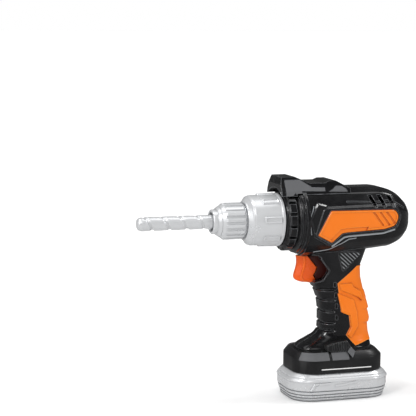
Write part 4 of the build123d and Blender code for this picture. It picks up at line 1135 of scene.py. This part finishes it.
# painted reflection: grey bands and a wedge on the block's shoulders stand in for light reflected on its
# black chamfers
shoulderReflectionShape = {
    "front": (25.0, 14.2), "wrap": 56.0, "rear": (11.4, -5.4), "rise": 0.45, "steps": 12,
    "wedge": [(-4.6, 45.4), (-8.3, 50.0), (-12.3, 45.4), (-8.7, 39.9)],
}


def shoulderBand(startX, endX, wrap):
    # A thin facet along the block's shoulder, from endX forward and round the front corner by wrap degrees;
    # its grey paints a reflection on the chamfer.
    shape, steps, rise = blockShape, shoulderReflectionShape["steps"], shoulderReflectionShape["rise"]
    low, high = nodeBox("battery_block")
    length, width = high.x - low.x, high.y - low.y
    corner, bevel, zLow, zHigh = shape["corner"], shape["bevel"], shape["shoulder"], high.z
    path = [(endX + (startX - endX) * k / steps, 90.0) for k in range(steps + 1)]
    if wrap:
        path += [(length / 2 - corner, 90.0 - wrap * k / steps) for k in range(1, steps + 1)]
    # inset, height and lift of each point across the band
    section = [(bevel, zHigh, 0.0), (bevel, zHigh, rise), (0.0, zLow, rise), (0.0, zLow - 1.2, rise),
               (0.0, zLow - 1.2, -0.8), (bevel, zHigh, -1.4)]
    rings = []
    for x, angle in path:
        a = math.radians(angle)
        ring = []
        for inset, z, lift in section:
            r = corner - inset * 0.95 + lift
            px = x + r * math.cos(a)
            py = width / 2 - corner + r * math.sin(a) - swell(px, length, shape["bulge"])
            ring.append(Vector((px, py, z + (lift if z == zHigh else 0))))
        rings.append(ring)
    return loftRings(rings)


def makeShoulderReflections():
    shape = shoulderReflectionShape
    for side, word in sides:
        band = shoulderBand(*shape["front"], shape["wrap"])
        band = combine(band, shoulderBand(*shape["rear"], 0.0), "UNION")
        wedge = sidePrism(shape["wedge"], 22.0, 30.9, 0.5, 0.3)
        for vert in wedge.verts:
            vert.co.y -= 0.5 * max(0.0, vert.co.z - 40.5)
        band = combine(band, wedge, "UNION")
        # the grey band is a painted reflection
        place(sided(band, side), word + "_shoulder_painted_reflection", "housing", "paintedReflectionGrey",
              [word + "_shoulder_trim"], sharp=25, edge=0.2)


latchShape = {
    "outline": [(-8.8, 45.2), (-8.9, 49.7), (-4.8, 55.6), (10.8, 53.4), (15.6, 51.8), (15.4, 46.4),
                (10.8, 44.6), (-4.8, 44.6)],
    "back": 14.0, "face": 26.6, "edge": 0.9, "corner": 1.0, "grooves": 7, "first": -6.2, "pitch": 2.45,
    "grooveFloor": 25.6,
}


def makeLatchPads():
    shape = latchShape
    for side, word in sides:
        pad = sidePrism(shape["outline"], shape["back"], shape["face"], shape["edge"], shape["corner"])
        for k in range(shape["grooves"]):
            x = shape["first"] + shape["pitch"] * k
            groove = [(x, 45.8), (x + 1.1, 45.8), (x + 2.4, 54.6), (x + 1.3, 54.6)]
            pad = combine(pad, sidePrism(groove, shape["grooveFloor"], 30.0), "DIFFERENCE")
        place(sided(pad, side), word + "_latch_pad_ribbed", "housing", "satinBlack",
              [word + "_latch_pad"], sharp=30)


stripeShape = {
    "front": 22.0, "rear": -28.0, "bottom": 29.6, "top": 30.5, "back": 29.0, "face": 30.06, "cuts": 12,
    "blockLength": 89.0,
}


def makeStripes():
    # A plain pale stripe low on each long side of the battery block.
    shape = stripeShape
    front, rear, bottom, top = shape["front"], shape["rear"], shape["bottom"], shape["top"]
    for side, word in sides:
        outline = [(front, bottom), (rear, bottom), (rear, top), (front, top)]
        stripe = sidePrism(outline, shape["back"], shape["face"])
        longEdges = [edge for edge in stripe.edges if edge.calc_length() > 20]
        bmesh.ops.subdivide_edges(stripe, edges=longEdges, cuts=shape["cuts"])
        for vert in stripe.verts:
            vert.co.y -= swell(vert.co.x, shape["blockLength"], blockShape["bulge"])
        place(sided(stripe, side), word + "_block_stripe", "housing", "whitePrint", [],
              sharp=30)


makeBit()
makeSleeve()
makeChuckGrip()
makeNose()
print("chuck and bit made")
makeClutchRing()
makeCollar()
makeHousing()
makeGripCover()
makePanels()
makeVents()
makeHighlightLines()
print("housing made")
makeRail()
makeTrigger()
makeTray()
makeBlock()
makeShoulderReflections()
makeLatchPads()
makeStripes()
print("rail, trigger and battery pack made")

nodeFinish = {
    # finish: the inner pieces that have it
    "silverPaint": ["chuck_core"],
    "turnedSteel": ["output_shaft", "motor_rotor", "trigger_spring", "idler_axle", "gearbox_screws",
                    "motor_can", "housing_screws", "door_screw", "base_screws", "speaker_magnet"],
    "creamPlastic": ["output_gear", "idler_gear", "gearbox_rear_plate", "gearbox_front_plate",
                     "motor_end_cap"],
    "rolledBrass": ["motor_pinion", "front_bush", "rear_bush", "contact_springs", "contact_plates"],
    "satinBlack": ["switch_box", "sound_chip", "speaker_cone"],
    "deepOrange": ["trigger_stem"],
    "cellJacket": ["aa_cells"],
    "boardGreen": ["circuit_board"],
}
for look, nodes in nodeFinish.items():
    for node in nodes:
        piece = frame["nodes"][node]
        piece.data.materials.clear()
        piece.data.materials.append(finish[look])
print("inner pieces finished")


# How bright the studio is: to matt surfaces, in gloss, the floor in gloss, and the panels in gloss.
studioTone = {"soft": 0.76, "gloss": 0.07, "floorGloss": 0.17, "panel": 1.45}
studioPanels = [
    # soft panels seen in the gloss: way to the panel, cosine where it is full, cosine where it ends
    ((-0.3, 0.0, 1.0), 0.975, 0.93),
    ((1.0, 0.35, 0.45), 0.95, 0.88),
    ((0.3, 0.7, 0.75), 0.975, 0.93),
    ((0.5, -0.2, 1.0), 0.975, 0.93),
]
lights = [
    # name, shines from this way, strength, how wide it looks in degrees
    ("key_soft", (1.15, 0.75, 1.0), 0.85, 14.0),
    ("over_back", (-0.8, 0.02, 1.0), 0.6, 14.0),
    ("over_front", (0.5, -0.1, 1.3), 0.7, 14.0),
    ("side_low", (-0.9, 0.9, 0.5), 0.3, 12.0),
]


def grey(level):
    return (level, level, level, 1)


def makeFloor():
    bm = bmesh.new()
    bmesh.ops.create_grid(bm, x_segments=8, y_segments=8, size=30)
    floor = asObject(bm, "studio_floor")
    bm.free()
    material, tree, shader = newMaterial("paleFloor")
    skin = placeGroup(tree, mouldedSkin, {"Wave size": 3.0, "Grain size": 60.0})
    pale = mixColour(tree, skin.outputs["Height"], grey(0.93), grey(0.96))
    path = tree.nodes.new("ShaderNodeLightPath")
    shown = mixColour(tree, path.outputs["Is Glossy Ray"], pale, grey(studioTone["floorGloss"]))
    tree.links.new(shown, shader.inputs["Base Color"])
    shader.inputs["Roughness"].default_value = 0.9
    shader.inputs["Specular IOR Level"].default_value = 0.1
    floor.data.materials.append(material)


def makeLights():
    for name, way, strength, width in lights:
        data = bpy.data.lights.new(name, "SUN")
        data.energy = strength
        data.angle = math.radians(width)
        lamp = bpy.data.objects.new(name, data)
        lamp.location = Vector(way) * 2
        lamp.rotation_euler = Vector(way).to_track_quat("Z", "Y").to_euler()
        collection.objects.link(lamp)
    world = bpy.data.worlds.new("studio")
    world.use_nodes = True
    tree = world.node_tree
    path = tree.nodes.new("ShaderNodeLightPath")
    way = addNode(tree, "ShaderNodeTexCoord")
    gloss = grey(studioTone["gloss"])
    for aim, near, wide in studioPanels:
        face = addNode(tree, "ShaderNodeVectorMath", {"operation": "DOT_PRODUCT"})
        face.inputs[1].default_value = Vector(aim).normalized()
        tree.links.new(way.outputs["Generated"], face.inputs[0])
        edge = {"From Min": wide, "From Max": near}
        panel = addNode(tree, "ShaderNodeMapRange", edge, {"Value": face.outputs["Value"]})
        gloss = mixColour(tree, panel.outputs["Result"], gloss, grey(studioTone["panel"]))
    lit = mixColour(tree, path.outputs["Is Glossy Ray"], grey(studioTone["soft"]), gloss)
    seen = mixColour(tree, path.outputs["Is Camera Ray"], lit, grey(1))
    tree.links.new(seen, tree.nodes["Background"].inputs["Color"])
    bpy.context.scene.world = world
    bpy.context.scene.view_settings.view_transform = "Standard"


cameraSetting = {"place": (0.5285, 1.2879, 0.3564), "yaw": 17.41, "pitch": 7.37, "roll": 0.35,
                 "lens": 128.5}


def makeCamera():
    yaw, pitch, roll = (math.radians(cameraSetting[key]) for key in ("yaw", "pitch", "roll"))
    ahead = Vector((-math.sin(yaw) * math.cos(pitch), -math.cos(yaw) * math.cos(pitch), -math.sin(pitch)))
    right = ahead.cross(Vector((0, 0, 1))).normalized()
    up = right.cross(ahead)
    tiltedRight = right * math.cos(roll) + up * math.sin(roll)
    tiltedUp = up * math.cos(roll) - right * math.sin(roll)
    data = bpy.data.cameras.new("studio_camera")
    data.lens = cameraSetting["lens"]
    data.sensor_width = 36.0
    data.clip_end = 100.0
    camera = bpy.data.objects.new("studio_camera", data)
    turn = Matrix((tiltedRight, tiltedUp, -ahead)).transposed().to_4x4()
    camera.matrix_world = Matrix.Translation(Vector(cameraSetting["place"])) @ turn
    collection.objects.link(camera)
    bpy.context.scene.camera = camera


makeFloor()
makeLights()
makeCamera()
print("studio made")
